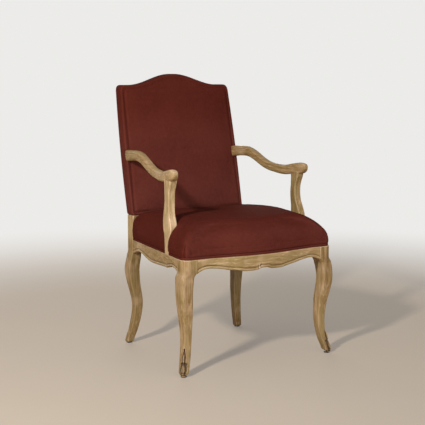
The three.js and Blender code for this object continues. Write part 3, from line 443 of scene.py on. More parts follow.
# front legs: height share, swing share, side share; a scroll and two leaves are carved on the toe's arris
frontLeg = {
    "swing": 31.0, "setback": 12.0, "arris": 8.0, "blockArris": 2.5, "corner": 28.0, "block": (.842, .9),
    "step": 3.0, "toeStep": 1.3, "toeTop": 92.0, "topRow": .8, "topEase": .7,
    "shares": ((0, 1, .535), (.05, .87, .55), (.124, .49, .575), (.198, .22, .583), (.272, .065, .595),
               (.347, .02, .634), (.42, .075, .692), (.495, .185, .763), (.57, .377, .838),
               (.644, .567, .888), (.718, .648, .913), (.792, .565, .954), (.842, .44, .99)),
    "toeShrink": 6.5, "toeEase": 13.0, "toeLean": .8, "toeSides": (22, 7, 7, 22), "crowd": 1.7,
    "carvedTop": 104.0, "reach": 21.0, "darkAt": 1.0,
    # paths of the carver's strokes, (along, height) each, with their width and cut
    "toeStrokes": ((((0, 92), (-3.6, 77), (-6, 65), (-5, 54)), 3.1, 2.8),
                   (((0, 92), (3.6, 77), (6, 65), (5, 54)), 3.1, 2.8), (((0, 95), (0, 84)), 2.2, 1.6),
                   (((0, 74), (0, 60)), 1.7, -2.4),
                   (((-13, 44), (-5, 48.5), (0, 46), (5, 48.5), (13, 44)), 3.2, 3.0),
                   (((0, 54.5), (0, 55)), 2.4, -2.8), (((0, 42), (0, 18)), 1.6, 2.6),
                   (((-6, 45), (-11, 35), (-12.5, 24), (-8, 14)), 3.8, 3.2),
                   (((6, 45), (11, 35), (12.5, 24), (8, 14)), 3.8, 3.2),
                   (((-13, 14.5), (0, 15), (13, 14.5)), 1.4, 1.8),
                   (((-13, 7.5), (0, 8), (13, 7.5)), 2.0, 2.6)),
    "tone": -.08, "kneeShade": .16, "kneeFrom": (230, 330), "kneeTo": (360, 400), "toeShade": .22,
    "toeFade": (45, 120),
}
legArcs, legSides = (14, 5, 4, 5), (9, 9, 9, 9)  # points round a leg's corners and between them
plainCut = 0.3  # a shallower cut gets no painted shade


# painted shade in a carved cut, deeper for a deeper cut
def cutShade(cut, darkAt):
    return max(0, cut - plainCut) / darkAt


def legRing(side, facing, x, y, z, half, outerRadius, radius, sideSteps=legSides, crowd=1):
    outline = cornered(half, half, (outerRadius, radius, radius / 2, radius), legArcs, sideSteps, crowd)
    return [(side * (x + u), y + facing * v, z) for u, v in outline]


def frontLegFacts(z):  # centre, half side and rounding of a front leg at a height
    look = frontLeg
    place = (z - chair["legFoot"]) / (chair["railTop"] - chair["legFoot"])
    swing, size = read(look["shares"], place, 1), read(look["shares"], place, 2)
    offset, arris = swing * look["swing"] / math.sqrt(2), look["arris"] * size
    low = (blockX + offset, blockY + look["setback"] - offset, size * chair["legBlock"] / 2,
           arris + (look["corner"] - arris) * max(0, place) ** 4, arris)
    high = (blockX, blockY, chair["legBlock"] / 2, look["corner"], look["blockArris"])
    t = smooth(*look["block"], place)
    return [a + (b - a) * t for a, b in zip(low, high)]


def carveToe(ring, centre, z):  # strokes run both ways from the outer arris and cut towards the centre
    look, middle, moved = frontLeg, legArcs[0] // 2, {}
    for step in (1, -1):
        run, here = 0, Vector(ring[middle])
        for k in range(len(ring) // 2):
            i = (middle + step * k) % len(ring)
            run += (Vector(ring[i]) - here).length
            here = Vector(ring[i])
            if run > look["reach"]:
                break
            cut = strokeDepth((step * run, z), look["toeStrokes"])
            moved[i] = (*(here + (centre - here).normalized() * cut), cutShade(cut, look["darkAt"]))
    for i, point in moved.items():
        ring[i] = point


def buildFrontLeg(word, side):
    look, top, foot = frontLeg, chair["railTop"], chair["legFoot"]
    heights = (spread(foot, look["toeTop"], look["toeStep"])
               + spread(look["toeTop"] + look["step"], top - look["topRow"], look["step"]) + [top])
    rings = []
    for z in heights:
        x, y, half, outer, radius = frontLegFacts(z)
        shrink = look["toeShrink"] * (1 - smooth(0, look["toeEase"], z - foot)) ** 1.5
        x, y = x + shrink * look["toeLean"], y - shrink * look["toeLean"]
        shrink += look["topEase"] if z == top else 0
        ring = legRing(side, -1, x, y, z, half - shrink, outer, radius, look["toeSides"], look["crowd"])
        if z <= look["carvedTop"]:
            carveToe(ring, Vector((side * x, y, z)), z)
        rings.append(ring)
    bm = loft(rings)

    def paintedLightAt(place, normal):  # painted shade, darker all over, under the rail and towards the toe
        knee = smooth(*look["kneeFrom"], place.z) * (1 - smooth(*look["kneeTo"], place.z))
        toe = 1 - smooth(*look["toeFade"], place.z)
        return look["tone"] - look["kneeShade"] * knee - look["toeShade"] * toe

    markWearAndShade(bm, paintedLightAt=paintedLightAt)
    finishPiece(f"frontLeg_{word}", bm, oakUp, (f"front_leg_{word}",))


# rear legs and the posts above them, with a stile that goes on inside the back
rearLeg = {
    "swing": 33.0, "inset": 3.5, "forward": 9.5, "arris": 6.0, "innerArris": 4.5, "block": (.83, .9),
    "step": 3.0, "toeShrink": 2.2, "toeEase": 3.5, "topGap": .4, "flare": 9.0, "flareFrom": 462.0,
    "shares": ((0, 1, .675), (.05, .855, .69), (.124, .533, .72), (.198, .297, .75), (.272, .112, .78),
               (.347, .006, .81), (.42, .027, .865), (.495, .197, .912), (.57, .394, .975),
               (.644, .533, 1.06), (.718, .59, 1.1), (.792, .458, 1.09), (.83, .36, 1.06)),
    "stileHalf": (18, 14), "stileInset": (8.5, 2.2), "stileArris": 3, "stileFrom": .6, "stileTop": 924.7,
    "stileStep": 20, "postPaintedLight": .18, "legPaintedShade": -.3,
}


def buildRearLeg(word, side):
    look, top, foot = rearLeg, chair["railTop"], chair["legFoot"]
    postX = chair["rearHalfWidth"] - chair["rearPost"] / 2
    postY = postRearY - chair["rearPost"] / 2
    rings = []
    for z in spread(foot, chair["backBottom"] - look["topGap"], look["step"]):
        place = (z - foot) / (top - foot)
        swing, size = read(look["shares"], place, 1), read(look["shares"], place, 2)
        offset = swing * look["swing"] / math.sqrt(2)
        t = smooth(*look["block"], place)
        x = postX - look["inset"] + offset + (look["inset"] - offset) * t
        y = postY - look["forward"] + offset + (look["forward"] - offset) * t
        half = (size + (1 - size) * t) * chair["rearPost"] / 2
        shrink = look["toeShrink"] * (1 - smooth(0, look["toeEase"], z - foot))
        ring = legRing(side, 1, x, y, z, half - shrink, look["arris"], look["innerArris"])
        flare = look["flare"] * smooth(look["flareFrom"], chair["backBottom"], z) ** 1.4
        rings.append([(px - side * flare * max(0, (x - abs(px)) / half),
                       py - flare * max(0, (y - py) / half), pz) for px, py, pz in ring])
    (halfX, halfY), (insetX, insetY) = look["stileHalf"], look["stileInset"]
    outline = cornered(halfX, halfY, (look["stileArris"],) * 4, legArcs, legSides)
    for z in spread(chair["backBottom"] + look["stileFrom"], look["stileTop"], look["stileStep"]):
        outerX, rearY = backHalfWidth(z) - insetX, rearLine(z) - insetY
        rings.append([(side * (outerX - halfX + u), rearY - halfY + v, z) for u, v in outline])
    bm = loft(rings)

    def paintedLightAt(place, normal):  # painted light makes the post paler away from its inner faces, and painted shade makes the leg below the rail darker, a little more on its front faces and less on those that look inward
        inner, front = smooth(-.3, .6, -side * normal.x), smooth(.2, .8, -normal.y)
        post = look["postPaintedLight"] * smooth(400, 440, place.z) * (1 - inner) * (1 - .6 * front)
        return post + (look["legPaintedShade"] + .06 * inner - .04 * front) * (1 - smooth(380, 430, place.z))

    markWearAndShade(bm, paintedLightAt=paintedLightAt)
    finishPiece(f"rearLeg_{word}", bm, oakUp, (f"rear_leg_{word}",))


for word, side in sideNames:
    buildFrontLeg(word, side)
    buildRearLeg(word, side)
print("legs made")

# seat rails: a bead and a groove follow the scalloped lower edge, with a carved motif
rails = {
    "archFoot": 350.0, "archRise": 19.0, "sideLower": 3.2, "reach": 259.7, "step": 2.4,
    # depth behind the face and height above the lower edge, from the inner foot out and up
    "section": ((8, 0), (4.5, 0), (2.2, .5), (.6, 1.8), (-.5, 3.6), (-.7, 5.4), (-.2, 7.2), (.9, 8.6),
                (2.0, 9.4), (2.7, 10.2), (2.8, 11.1), (2.1, 12.2), (1.2, 13.4), (.7, 15)),
    # (place, rise) shares of the lower edge, from the middle out and from the front back
    "frontEdge": ((0, .37), (.06, .34), (.115, .06), (.29, 0), (.41, .26), (.53, .45), (.64, .74),
                  (.77, .96), (.83, 1), (.9, .9), (.96, .62), (1, .3)),
    "sideEdge": ((0, .42), (.044, .74), (.1, .96), (.156, .92), (.2, .74), (.222, .55), (.258, .53),
                 (.345, .42), (.456, .26), (.572, .21), (.676, .47), (.772, .79), (.848, .97), (.888, .87),
                 (.934, .58), (1, .1)),
    "frontMotifX": -23.0, "sideMotifY": -207.0, "fineReach": 15.0, "fineStep": .8, "cutReach": 4.6,
    "darkAt": 1.6,
    # (along, height above the lower edge) paths of the small carved motifs, with width and cut
    "frontMotif": ((((-5.5, 3), (-4.5, 10), (-6, 17)), 1.3, 2.0),
                   (((5.5, 3), (4.5, 10), (6.5, 17)), 1.3, 2.2), (((-.5, 5), (0, 15)), 2.6, -.8),
                   (((6, 12), (15, 12)), 1.2, 1.2)),
    # the side motif's first stroke, low at the arch crest, is a dark line of painted shade where the frame's
    # inside shows under the rail
    "sideMotif": ((((-10, 1), (0, 2.5), (10, 1)), 1.6, 2.4), (((-7, 17), (0, 22), (7, 17)), 1.2, 1.6),
                  (((0, 9), (0, 17)), 2.4, -1.2)),
    "jointShades": (.45, .7), "wearAndShadeReach": .0025, "sidePaintedShade": -.14,
}


def railSection(edge, slope):  # (depth, height) pairs all round a rail
    top, thickness = chair["railTop"], chair["railThickness"]
    stretch = math.sqrt(1 + slope * slope)
    points = [(d, edge + h * stretch) for d, h in rails["section"]]
    foot = points[-1][1]
    points += [(.7, foot + (top - 2 - foot) * k / 7) for k in range(1, 8)]
    points += [(1.1, top - .8), (2.2, top), (thickness - 3, top), (thickness, top - 2)]
    points += [(thickness, top - (top - edge) * .5), (thickness, edge + 2), (thickness - 3, edge)]
    return points


def railPlaces(start, end, centre):  # even places along a rail, closer together at its motif
    look = rails
    low, high = centre - look["fineReach"], centre + look["fineReach"]
    return (spread(start, low, look["step"]) + spread(low + look["fineStep"], high, look["fineStep"])
            + spread(high + look["fineStep"], end, look["step"]))


# (depth, height, shade) triples round a rail, with the scalloped edge and the motif's cuts
def railPoints(rows, share, span, lower, along, strokes):
    look, near = rails, .004
    edge = look["archFoot"] - lower + look["archRise"] * read(rows, share, 1)
    slope = (read(rows, share + near, 1) - read(rows, share - near, 1)) * look["archRise"] / (2 * near * span)
    points = []
    for d, z in railSection(edge, slope):
        cut = strokeDepth((along, z - edge), strokes) if d < look["cutReach"] else 0
        points.append((d + cut, z, cutShade(cut, look["darkAt"])))
    return points


def buildFrontRail():
    look, rings = rails, []
    for x in railPlaces(-look["reach"], look["reach"], look["frontMotifX"]):
        joint = look["jointShades"][x > 0] if abs(x) > look["reach"] - 1 else 0
        points = railPoints(look["frontEdge"], abs(x) / look["reach"], look["reach"], 0,
                            x - look["frontMotifX"], look["frontMotif"])
        rings.append([(x, min(frontFace(x) + d, frontPlane + chair["railThickness"]), z, shade + joint)
                      for d, z, shade in points])
    bm = loft(rings)
    markWearAndShade(bm, look["wearAndShadeReach"])
    finishPiece("frontSeatRail", bm, oakAcross, ("front_seat_rail",))


def buildSideRail(word, side):
    look, rings = rails, []
    start, end = blockRearY + chair["gap"], postFrontY - chair["gap"]
    for y in railPlaces(start, end, look["sideMotifY"]):
        share = (y - start) / (end - start)
        lower = look["sideLower"] * smooth(.06, .2, share) * (1 - smooth(.62, .8, share))
        points = railPoints(look["sideEdge"], share, end - start, lower,
                            y - look["sideMotifY"], look["sideMotif"])
        rings.append([(side * (sideOuter(y) - d), y, z, shade) for d, z, shade in points])
    bm = loft(rings)
    # painted shade makes the side rails darker than the front rail
    markWearAndShade(bm, look["wearAndShadeReach"], lambda place, normal: look["sidePaintedShade"])
    finishPiece(f"sideSeatRail_{word}", bm, oakAlong, (f"side_seat_rail_{word}",))


# the frame's own shape with its edges eased
def softenedCopy(name, node, material, width, segments=2, flatAngle=2, hardAngle=35):
    bm = bmesh.new()
    bm.from_mesh(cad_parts[node].data)
    bmesh.ops.remove_doubles(bm, verts=bm.verts[:], dist=1e-6)
    bmesh.ops.dissolve_limit(bm, angle_limit=math.radians(flatAngle), verts=bm.verts[:], edges=bm.edges[:])
    hard = [e for e in bm.edges if e.is_manifold and e.calc_face_angle(0) > math.radians(hardAngle)]
    bmesh.ops.bevel(bm, geom=hard, offset=width / metre, offset_type="OFFSET", segments=segments, profile=0.5,
                    affect="EDGES", material=-1, clamp_overlap=True)
    bmesh.ops.triangulate(bm, faces=bm.faces[:])
    markWearAndShade(bm)
    return finishPiece(name, bm, material, (node,))


buildFrontRail()
for word, side in sideNames:
    buildSideRail(word, side)
softenedCopy("rearSeatRail", "rear_seat_rail", oakAcross, 1.6)
softenedCopy("lowerBackRail", "lower_back_rail", oakAcross, 1.6)
print("rails made")

# arms: run, drop, spread, width and height shares; a groove runs under the top of each side
arms = {
    "rear": 238.0, "spreadOut": 38.0, "high": 725.5, "drop": 56.5, "width": 30.0, "height": 38.0,
    "run": 426.0, "endY": 228.3, "step": 3.0, "endRuns": (0, .004, .01, .016), "evenFrom": .022,
    "slopeRun": .01, "levelRun": .08, "buttFrom": .93, "groove": 1.0, "grooveFrom": (.03, .14),
    "wearAndShadeReach": .0024,
    "shares": ((0, .72, 1.05, .52, .36), (.022, .775, 1.03, .88, .8), (.06, .812, .98, 1.04, 1.07),
               (.11, .85, .91, 1.08, 1.08), (.165, .9, .82, 1.06, 1.01), (.235, .985, .72, 1.02, .97),
               (.305, 1, .61, 1, .9), (.375, .95, .49, 1, .83), (.445, .88, .39, 1, .8),
               (.515, .74, .31, 1, .78), (.585, .53, .25, 1, .77), (.655, .29, .2, 1, .8),
               (.725, .1, .16, 1, .87), (.79, .01, .145, 1, .96), (.86, .01, .11, 1, 1),
               (.93, .04, .06, 1, 1.02), (1, .08, 0, 1, 1.12)),
    "half": ((0, 1, 0), (.34, .985, 0), (.6, .94, 0), (.79, .86, 0), (.9, .74, 0), (.96, .6, 0),
             (.985, .5, .6), (.99, .43, 1), (.995, .36, .6), (1, .26, 0), (1, .08, 0), (1, -.14, 0),
             (1, -.36, 0), (.985, -.56, 0), (.95, -.7, 0), (.82, -.84, 0), (.68, -.96, 0), (.5, -1, 0),
             (.25, -1, 0), (0, -1, 0)),
    "kneeTop": (678, 690), "knuckleFrom": (-165, -140),
}


def armOutline(halfWidth, halfHeight, groove):
    right = [(u * halfWidth - groove * g, v * halfHeight) for u, v, g in arms["half"]]
    left = [(-u, v) for u, v in right[-2:0:-1]]
    return right + left


def armCentre(run):
    look = arms
    return Vector((look["rear"] + look["spreadOut"] * read(look["shares"], run, 2),
                   look["endY"] - look["run"] + run * look["run"],
                   look["high"] - look["drop"] * read(look["shares"], run, 1)))


def buildArm(word, side):
    look, rings = arms, []
    for run in [*look["endRuns"], *spread(look["evenFrom"], 1, look["step"] / look["run"])]:
        c, near = armCentre(run), look["slopeRun"]
        slope = armCentre(min(run + near, 1)) - armCentre(max(run - near, 0))
        butt = smooth(look["buttFrom"], 1, run)  # the rear end is cut to the back's rake
        tilt = (math.atan2(slope.z, slope.y) * smooth(0, look["levelRun"], run) * (1 - butt)
                - math.atan(chair["rake"]) * butt)
        outline = armOutline(read(look["shares"], run, 3) * look["width"] / 2,
                             read(look["shares"], run, 4) * look["height"] / 2,
                             look["groove"] * smooth(*look["grooveFrom"], run))
        rings.append([(side * (c.x + u), c.y - v * math.sin(tilt), c.z + v * math.cos(tilt))
                      for u, v in outline])
    bm = loft(rings)

    def paintedLightAt(place, normal):  # painted shade makes the right arm darker, with painted highlight on its knuckle's top; on the left arm, painted highlight on the knuckle's top, painted shade under it and towards the rear
        if side > 0:
            return -.2 + .25 * smooth(.5, .9, normal.z) * (1 - smooth(-160, -120, place.y))
        knuckle = 1 - smooth(*look["knuckleFrom"], place.y)
        under = smooth(.3, .7, -normal.y) * (1 - smooth(*look["kneeTop"], place.z))
        return .08 - .26 * smooth(-60, 120, place.y) + knuckle * (.35 * smooth(.4, .8, normal.z) - .2 * under)

    markWearAndShade(bm, look["wearAndShadeReach"], paintedLightAt)
    finishPiece(f"armRest_{word}", bm, oakAlong, (f"arm_{word}",))


# arm supports: rise, lean, tuck, width and depth shares
supports = {
    "depth": 54.0, "footY": -163.5, "width": 28.0, "rise": 250.0, "lean": 22.5, "tuck": 12.0, "step": 2.5,
    "shares": ((0, 0, 0, 1, .56), (.143, .17, .1, 1, .57), (.263, .25, .3, 1, .74),
               (.343, .395, .45, 1, .97), (.423, .56, .55, 1, 1), (.483, .68, .6, 1, .89),
               (.543, .82, .65, 1, .75), (.623, .96, .85, 1, .63), (.743, 1, 1, 1, .57),
               (.863, .91, .95, 1, .58), (.96, .7, .9, 1.02, .75), (1.0, .64, .9, 1.03, .83),
               (1.055, .58, .9, 1.04, .88)),
    "top": 1.045, "cove": 1.4, "arris": 4.0, "outerArris": 5.2, "leftPaintedLight": .17, "rightPaintedShade": -.18,
}
supportFoot = chair["railTop"] + chair["gap"]


def supportFacts(rise):  # centre, half width and half depth of a support at a rise
    look = supports
    x = sideOuter(look["footY"]) - look["width"] / 2 - look["tuck"] * read(look["shares"], rise, 2)
    y = look["footY"] + look["lean"] * read(look["shares"], rise, 1)
    halfX, halfY = (read(look["shares"], rise, 3) * look["width"] / 2,
                    read(look["shares"], rise, 4) * look["depth"] / 2)
    return x, y, supportFoot + rise * look["rise"], halfX, halfY


def supportAt(z):  # the same at a height
    return supportFacts(max(0, (z - supportFoot) / supports["rise"]))


def buildSupport(word, side):
    look, rings, arris = supports, [], supports["arris"]
    for rise in spread(0, look["top"], look["step"] / look["rise"]):
        x, y, height, halfX, halfY = supportFacts(rise)
        # corners in the order rear outer, rear inner, front inner, front outer
        outline = cornered(halfX, halfY, (arris, arris, arris, look["outerArris"]), (5, 5, 5, 6),
                           (8, 8, 8, 8))
        ring = []
        for u, v in outline:
            cove = look["cove"] * max(0, 1 - (u / (halfX - arris)) ** 2) if v < 0 else 0
            ring.append((side * (x + u), y + v + cove * smooth(0, .8, -v / halfY), height))
        rings.append(ring)
    bm = loft(rings)
    # painted light makes the left support paler and painted shade makes the right one darker
    markWearAndShade(bm, paintedLightAt=lambda place, normal: look["rightPaintedShade"] if side > 0 else look["leftPaintedLight"])
    finishPiece(f"armSupport_{word}", bm, oakUp, (f"arm_support_{word}",))


for word, side in sideNames:
    buildArm(word, side)
    buildSupport(word, side)
print("arms made")

# covers pulled tight: a cloth simulation on a remeshed copy gives the slack between the held edges
pulledCloth = {
    "voxel": 0.009, "frames": 12, "pressure": 10.0, "tension": 10.0, "bending": 0.4, "mass": 0.35,
    "cap": 0.004, "neighbours": 6,
}


def relaxCover(bm, held):  # held(place) is 1 where the cloth is tacked and 0 where it is free
    look = pulledCloth
    mesh = bpy.data.meshes.new("pulledCopy")
    bm.to_mesh(mesh)
    copy = bpy.data.objects.new("pulledCopy", mesh)
    scene.collection.objects.link(copy)
    remesh = copy.modifiers.new("Remesh", "REMESH")
    remesh.mode = "VOXEL"
    remesh.voxel_size = look["voxel"]
    even = bpy.data.meshes.new_from_object(copy.evaluated_get(bpy.context.evaluated_depsgraph_get()))
    copy.modifiers.clear()
    copy.data = even
    start = [v.co.copy() for v in even.vertices]
    group = copy.vertex_groups.new(name="held")
    for i, place in enumerate(start):
        group.add([i], held(place), "REPLACE")
    pull = copy.modifiers.new("Cloth", "CLOTH")
    for key, value in (("use_pressure", True), ("uniform_pressure_force", look["pressure"]),
                       ("tension_stiffness", look["tension"]), ("compression_stiffness", look["tension"]),
                       ("bending_stiffness", look["bending"]), ("mass", look["mass"]),
                       ("vertex_group_mass", "held")):
        setattr(pull.settings, key, value)
    pull.settings.effector_weights.gravity = 0
    pull.collision_settings.use_collision = False
    pull.point_cache.frame_end = look["frames"]
    for frameNumber in range(1, look["frames"] + 1):
        scene.frame_set(frameNumber)
    pulled = copy.evaluated_get(bpy.context.evaluated_depsgraph_get()).data
    shifts = [after.co - before for after, before in zip(pulled.vertices, start)]
    tree = KDTree(len(start))
    for i, place in enumerate(start):
        tree.insert(place, i)
    tree.balance()
    for v in bm.verts:
        near = tree.find_n(v.co, look["neighbours"])
        weights = [1 / (distance + look["voxel"] / 3) for _, _, distance in near]
        shift = sum((shifts[i] * w for (_, i, _), w in zip(near, weights)), Vector()) / sum(weights)
        if shift.length > look["cap"]:
            shift *= look["cap"] / shift.length
        v.co += shift * (1 - held(v.co))
    scene.frame_set(1)
    bpy.data.objects.remove(copy)
    for spent in (mesh, even):
        bpy.data.meshes.remove(spent)


# the cloth's own flat coordinates, in metres, from a place
def layWeave(bm, flat):
    weave = bm.verts.layers.float_vector.new("weave")
    for v in bm.verts:
        v[weave] = Vector((*flat(v.co), 0))


def pulledFrom(centre, across, drop):  # flat coordinates that run on over the edge of a cover
    def flat(place):
        away = Vector(across(place - centre))
        return away * (1 + max(0, drop(place - centre)) / max(away.length, .02))
    return flat


def finishPadded(word, bm, paintedLightAt, foamRings):  # a cover and the foam under it
    markWearAndShade(bm, .006, paintedLightAt)
    cover = finishPiece(f"{word}Cover", bm, coverCloth, (f"{word}_cover",), 0)
    bm = loft(foamRings)
    markWearAndShade(bm, .006)
    foam = finishPiece(f"{word}Foam", bm, paddingFoam, (f"{word}_foam",), 0)


def towards(centre, p, distance):  # a point of an outline pulled in to the middle
    away = p - centre
    return centre + away * max(0, 1 - distance / away.length)


def finer(rings):  # a smooth ring between each two rings
    result = []
    for k, ring in enumerate(rings[:-1]):
        before, after, last = rings[max(k - 1, 0)], rings[k + 1], rings[min(k + 2, len(rings) - 1)]
        result.append(ring)
        result.append([tuple((9 * (b + c) - a - d) / 16 for a, b, c, d in zip(*four))
                       for four in zip(before, ring, after, last)])
    return result + [rings[-1]]


# seat: a tight domed cover pulled over foam, cut round the arm supports and the rear posts
seat = {
    "apex": 525.0, "edge": 440.0, "rearLift": 12.0, "apexY": -76.0, "rearFall": 14.0, "frontFall": 15.0,
    "fallSpan": 240.0, "frontInset": 6.0, "sideInset": 2.0, "centreY": -46.0, "frontShoulder": 95.0,
    "sideShoulder": 50.0, "rearShoulder": 74.0, "rearCornerShoulder": 38.0, "cornerShoulder": 60.0,
    "power": 2.0, "cornerPower": 1.65, "cornerRadius": 28.0, "rearRound": 4.0, "room": 0.8,
    "bandHeight": 8.0, "bandInset": 3.8, "rearSetback": 2.0, "sideCounts": (22, 12, 80),
    "notch": (0, .55, 1, 1, 1, 1, 1, 1, 1, 1, .55, 0),
    # rows of the side: height over the band or over the edge, pull inwards, share of the edge's own height
    "bandRows": ((-2, -.4, 0), (0, 1, 0), (3, -.9, 0), (9, -2.4, .2), (16, -3, .5), (22, -3, .8)),
    "edgeRows": ((-3, -2.4, 1), (0, -1.5, 1)),
    # rows of the shoulder, how the cover tucks down at the posts, and rows of the crown
    "shoulderRows": (.01, .03, .06, .1, .15, .2, .26, .31, .335, .355, .38, .42, .47, .53, .6, .67, .75,
                     .84, .92, 1),
    "tuckRows": ((0, 0), (.3, .1), (.335, .3), (.355, .62), (.38, .84), (.42, .92), (.52, .965), (.75, .99),
                 (1, 1)),
    "crownRows": (.08, .16, .25, .34, .43, .52, .61, .7, .78, .86, .93, .98), "step": 5.0, "foamInset": 6.0,
    "foamFoot": 4.4, "foamStep": 16.0,
}


def seatOutline(inset, step):
    look = seat
    frontInset, sideInset = look["frontInset"] + inset, look["sideInset"] + inset
    cornerX = chair["frontHalfWidth"] - look["cornerRadius"]
    cornerY = frontPlane + look["cornerRadius"]
    rearX = chair["rearHalfWidth"] - sideInset
    rearY = postFrontY - look["room"] - inset / 4
    tuckX = chair["rearHalfWidth"] - chair["rearPost"] - look["room"] - inset / 4
    railY = postRearY - look["rearSetback"] - look["bandInset"] - look["frontInset"] - inset
    lastY, tuckStep = rearY - look["rearRound"], 4
    right = [(x, frontFace(x) + frontInset) for x in spread(0, cornerX, step)]
    right += [(cornerX + (look["cornerRadius"] - sideInset) * math.sin(a),
               cornerY - (look["cornerRadius"] - frontInset) * math.cos(a))
              for a in spread(.06, math.pi / 2 - .06, .07)]
    first, count = len(right), sum(look["sideCounts"])
    for k in range(count):
        y = cornerY + (lastY - cornerY) * k / (count - 1)
        outer = sideOuter(y) + 2 * (y - cornerY) / (lastY - cornerY)
        right.append((min(chair["frontHalfWidth"], outer) - sideInset, y))
    right += [(rearX - look["rearRound"] * (1 - math.cos(a)), lastY + look["rearRound"] * math.sin(a))
              for a in (.5, 1, math.pi / 2)]
    right += [(x, rearY) for x in spread(tuckX, rearX - look["rearRound"] - 3, tuckStep)][:0:-1]
    right += [(tuckX, y) for y in spread(rearY, railY, tuckStep)]
    right += [(x, railY) for x in spread(0, tuckX - step, step)][::-1]
    left = [(-x, y) for x, y in right[-2:0:-1]]
    return right + left, first


def seatTop(x, y):
    away = (y - seat["apexY"]) / seat["fallSpan"]
    return seat["apex"] - (seat["rearFall"] if away > 0 else seat["frontFall"]) * away ** 2


def seatRings(inset, foot, step):
    look = seat
    centre = Vector((0, look["centreY"]))
    points, first = seatOutline(inset, step)
    outline = [Vector(p) for p in points]
    lift = chair["railTop"] + look["bandHeight"]
    cornerAngle = math.atan2(frontPlane + look["cornerRadius"] / 2 - centre.y,
                             chair["frontHalfWidth"] - look["cornerRadius"] / 2)
    rings, facts = [], []
    for p in outline:
        angle = math.atan2(p.y - centre.y, abs(p.x))
        down, up = max(0, -math.sin(angle)) ** 2, max(0, math.sin(angle))
        corner = math.exp(-((angle - cornerAngle) / .3) ** 2)
        tucked = smooth(postFrontY - 1, postFrontY + 6, p.y)
        shoulder = (look["sideShoulder"] + (look["frontShoulder"] - look["sideShoulder"]) * down
                    + (look["rearCornerShoulder"] - look["sideShoulder"]) * up
                    + look["cornerShoulder"] * corner)
        shoulder += (look["rearShoulder"] / max(abs(math.sin(angle)), .3) - shoulder) * tucked
        edge = look["edge"] + look["rearLift"] * smooth(-100, 150, p.y) * (1 - tucked) - inset
        facts.append((shoulder, corner, tucked, edge))
    side = [(foot, 0, 0)] + [(lift + z, pull, share) for z, pull, share in look["bandRows"]]
    side += [(look["edge"] + z, pull, share) for z, pull, share in look["edgeRows"]]
    for z, pull, share in side:
        rings.append([(*towards(centre, p, pull * (1 - tucked)), z + (edge - look["edge"]) * share)
                      for p, (_, _, tucked, edge) in zip(outline, facts)])
    for place in look["shoulderRows"]:
        ring = []
        for p, (shoulder, corner, tucked, edge) in zip(outline, facts):
            q = towards(centre, p, place * shoulder - 1.5 * (1 - place) * (1 - tucked))
            power = look["power"] + (look["cornerPower"] - look["power"]) * corner
            dome = (1 - (1 - place) ** power) ** (1 / power)
            share = dome + (read(look["tuckRows"], place, 1) - dome) * tucked
            ring.append((q.x, q.y, edge + (seatTop(*q) - inset - edge) * share))
        rings.append(ring)
    last = rings[-1]
    for place in look["crownRows"]:
        inner = [(x * (1 - place), y + (centre.y - y) * place) for x, y, _ in last]
        rings.append([(x, y, seatTop(x, y) - inset) for x, y in inner])
    return [fitSupports(ring, first, look["room"] + inset) for ring in rings]


def fitSupports(ring, first, room):  # the side's points close up round each arm support
    before, inside, after = seat["sideCounts"]
    total, held = sum(seat["sideCounts"]), 3
    ring = list(ring)
    for order in (lambda i: first + i, lambda i: len(ring) - first - i):
        side = [ring[order(i)] for i in range(total)]

        def at(y):
            y = min(max(y, side[0][1]), side[-1][1])
            k = min(max(i for i in range(total) if side[i][1] <= y), total - 2)
            t = (y - side[k][1]) / max(side[k + 1][1] - side[k][1], 1e-6)
            return [a + (b - a) * t for a, b in zip(side[k], side[k + 1])]

        sx, sy, _, halfX, halfY = supportAt(at(supports["footY"] + 12)[2])
        low, high = sy - halfY - room, sy + halfY + room
        deep = max(0, abs(at(sy)[0]) - (sx - halfX - room))
        if deep <= 0 or side[0][1] > low - 10:
            continue
        places = [side[0][1] + (low - side[0][1]) * i / before for i in range(before)] + [low] * held
        places += [low + (high - low) * i / (inside - 5) for i in range(1, inside - 5)] + [high] * held
        places += [high + (side[-1][1] - high) * i / after for i in range(1, after + 1)]
        share = smooth(0, 5, deep)
        for i in range(total):
            x, y, height = at(side[i][1] + (places[i] - side[i][1]) * share)
            notch = seat["notch"][i - before] if before <= i < before + inside else 0
            ring[order(i)] = (x - math.copysign(deep * notch, x), y, height)
    return ring


# a pleat at each front corner, and shallow pulls on the sides behind it
pleats = {
    "angle": 56.0, "radius": 24.0, "near": (8, 16), "behind": (-30, 0), "rise": (409, 415),
    "fade": (446, 470),
    # push, place and width of the folds along the corner
    "folds": ((1.7, -7, 6.5), (-1.5, 1.4, 1.9)), "pull": .6, "pullStep": 8.5, "pullSlant": .03,
    "pullRise": (414, 430), "pullFade": (470, 500), "pullRear": (-215, -195),
}


def foldCorners(bm):
    look = pleats
    bm.normal_update()
    cornerX, cornerY = chair["frontHalfWidth"] - seat["cornerRadius"], frontPlane + seat["cornerRadius"]
    moves = []
    for v in bm.verts:
        x, y, z = v.co * metre
        u, w = abs(x) - cornerX, cornerY - y
        along = (math.atan2(u, w) - math.radians(look["angle"])) * look["radius"]
        corner = (smooth(*look["near"], math.hypot(u, w)) * smooth(*look["behind"], u + w)
                  * smooth(*look["rise"], z) * (1 - smooth(*look["fade"], z)))
        push = corner * sum(high * math.exp(-((along - at) / width) ** 2) for high, at, width in look["folds"])
        side = (smooth(cornerX + 5, cornerX + 12, abs(x) + (y - cornerY) * .14)
                * smooth(*look["pullRise"], z) * (1 - smooth(*look["pullFade"], z))
                * smooth(cornerY - 4, cornerY + 8, y) * (1 - smooth(*look["pullRear"], y)))
        push += look["pull"] * side * math.sin(y * math.pi / look["pullStep"] + z * look["pullSlant"])
        moves.append(push)
    for v, push in zip(bm.verts, moves):
        v.co += v.normal * push / metre


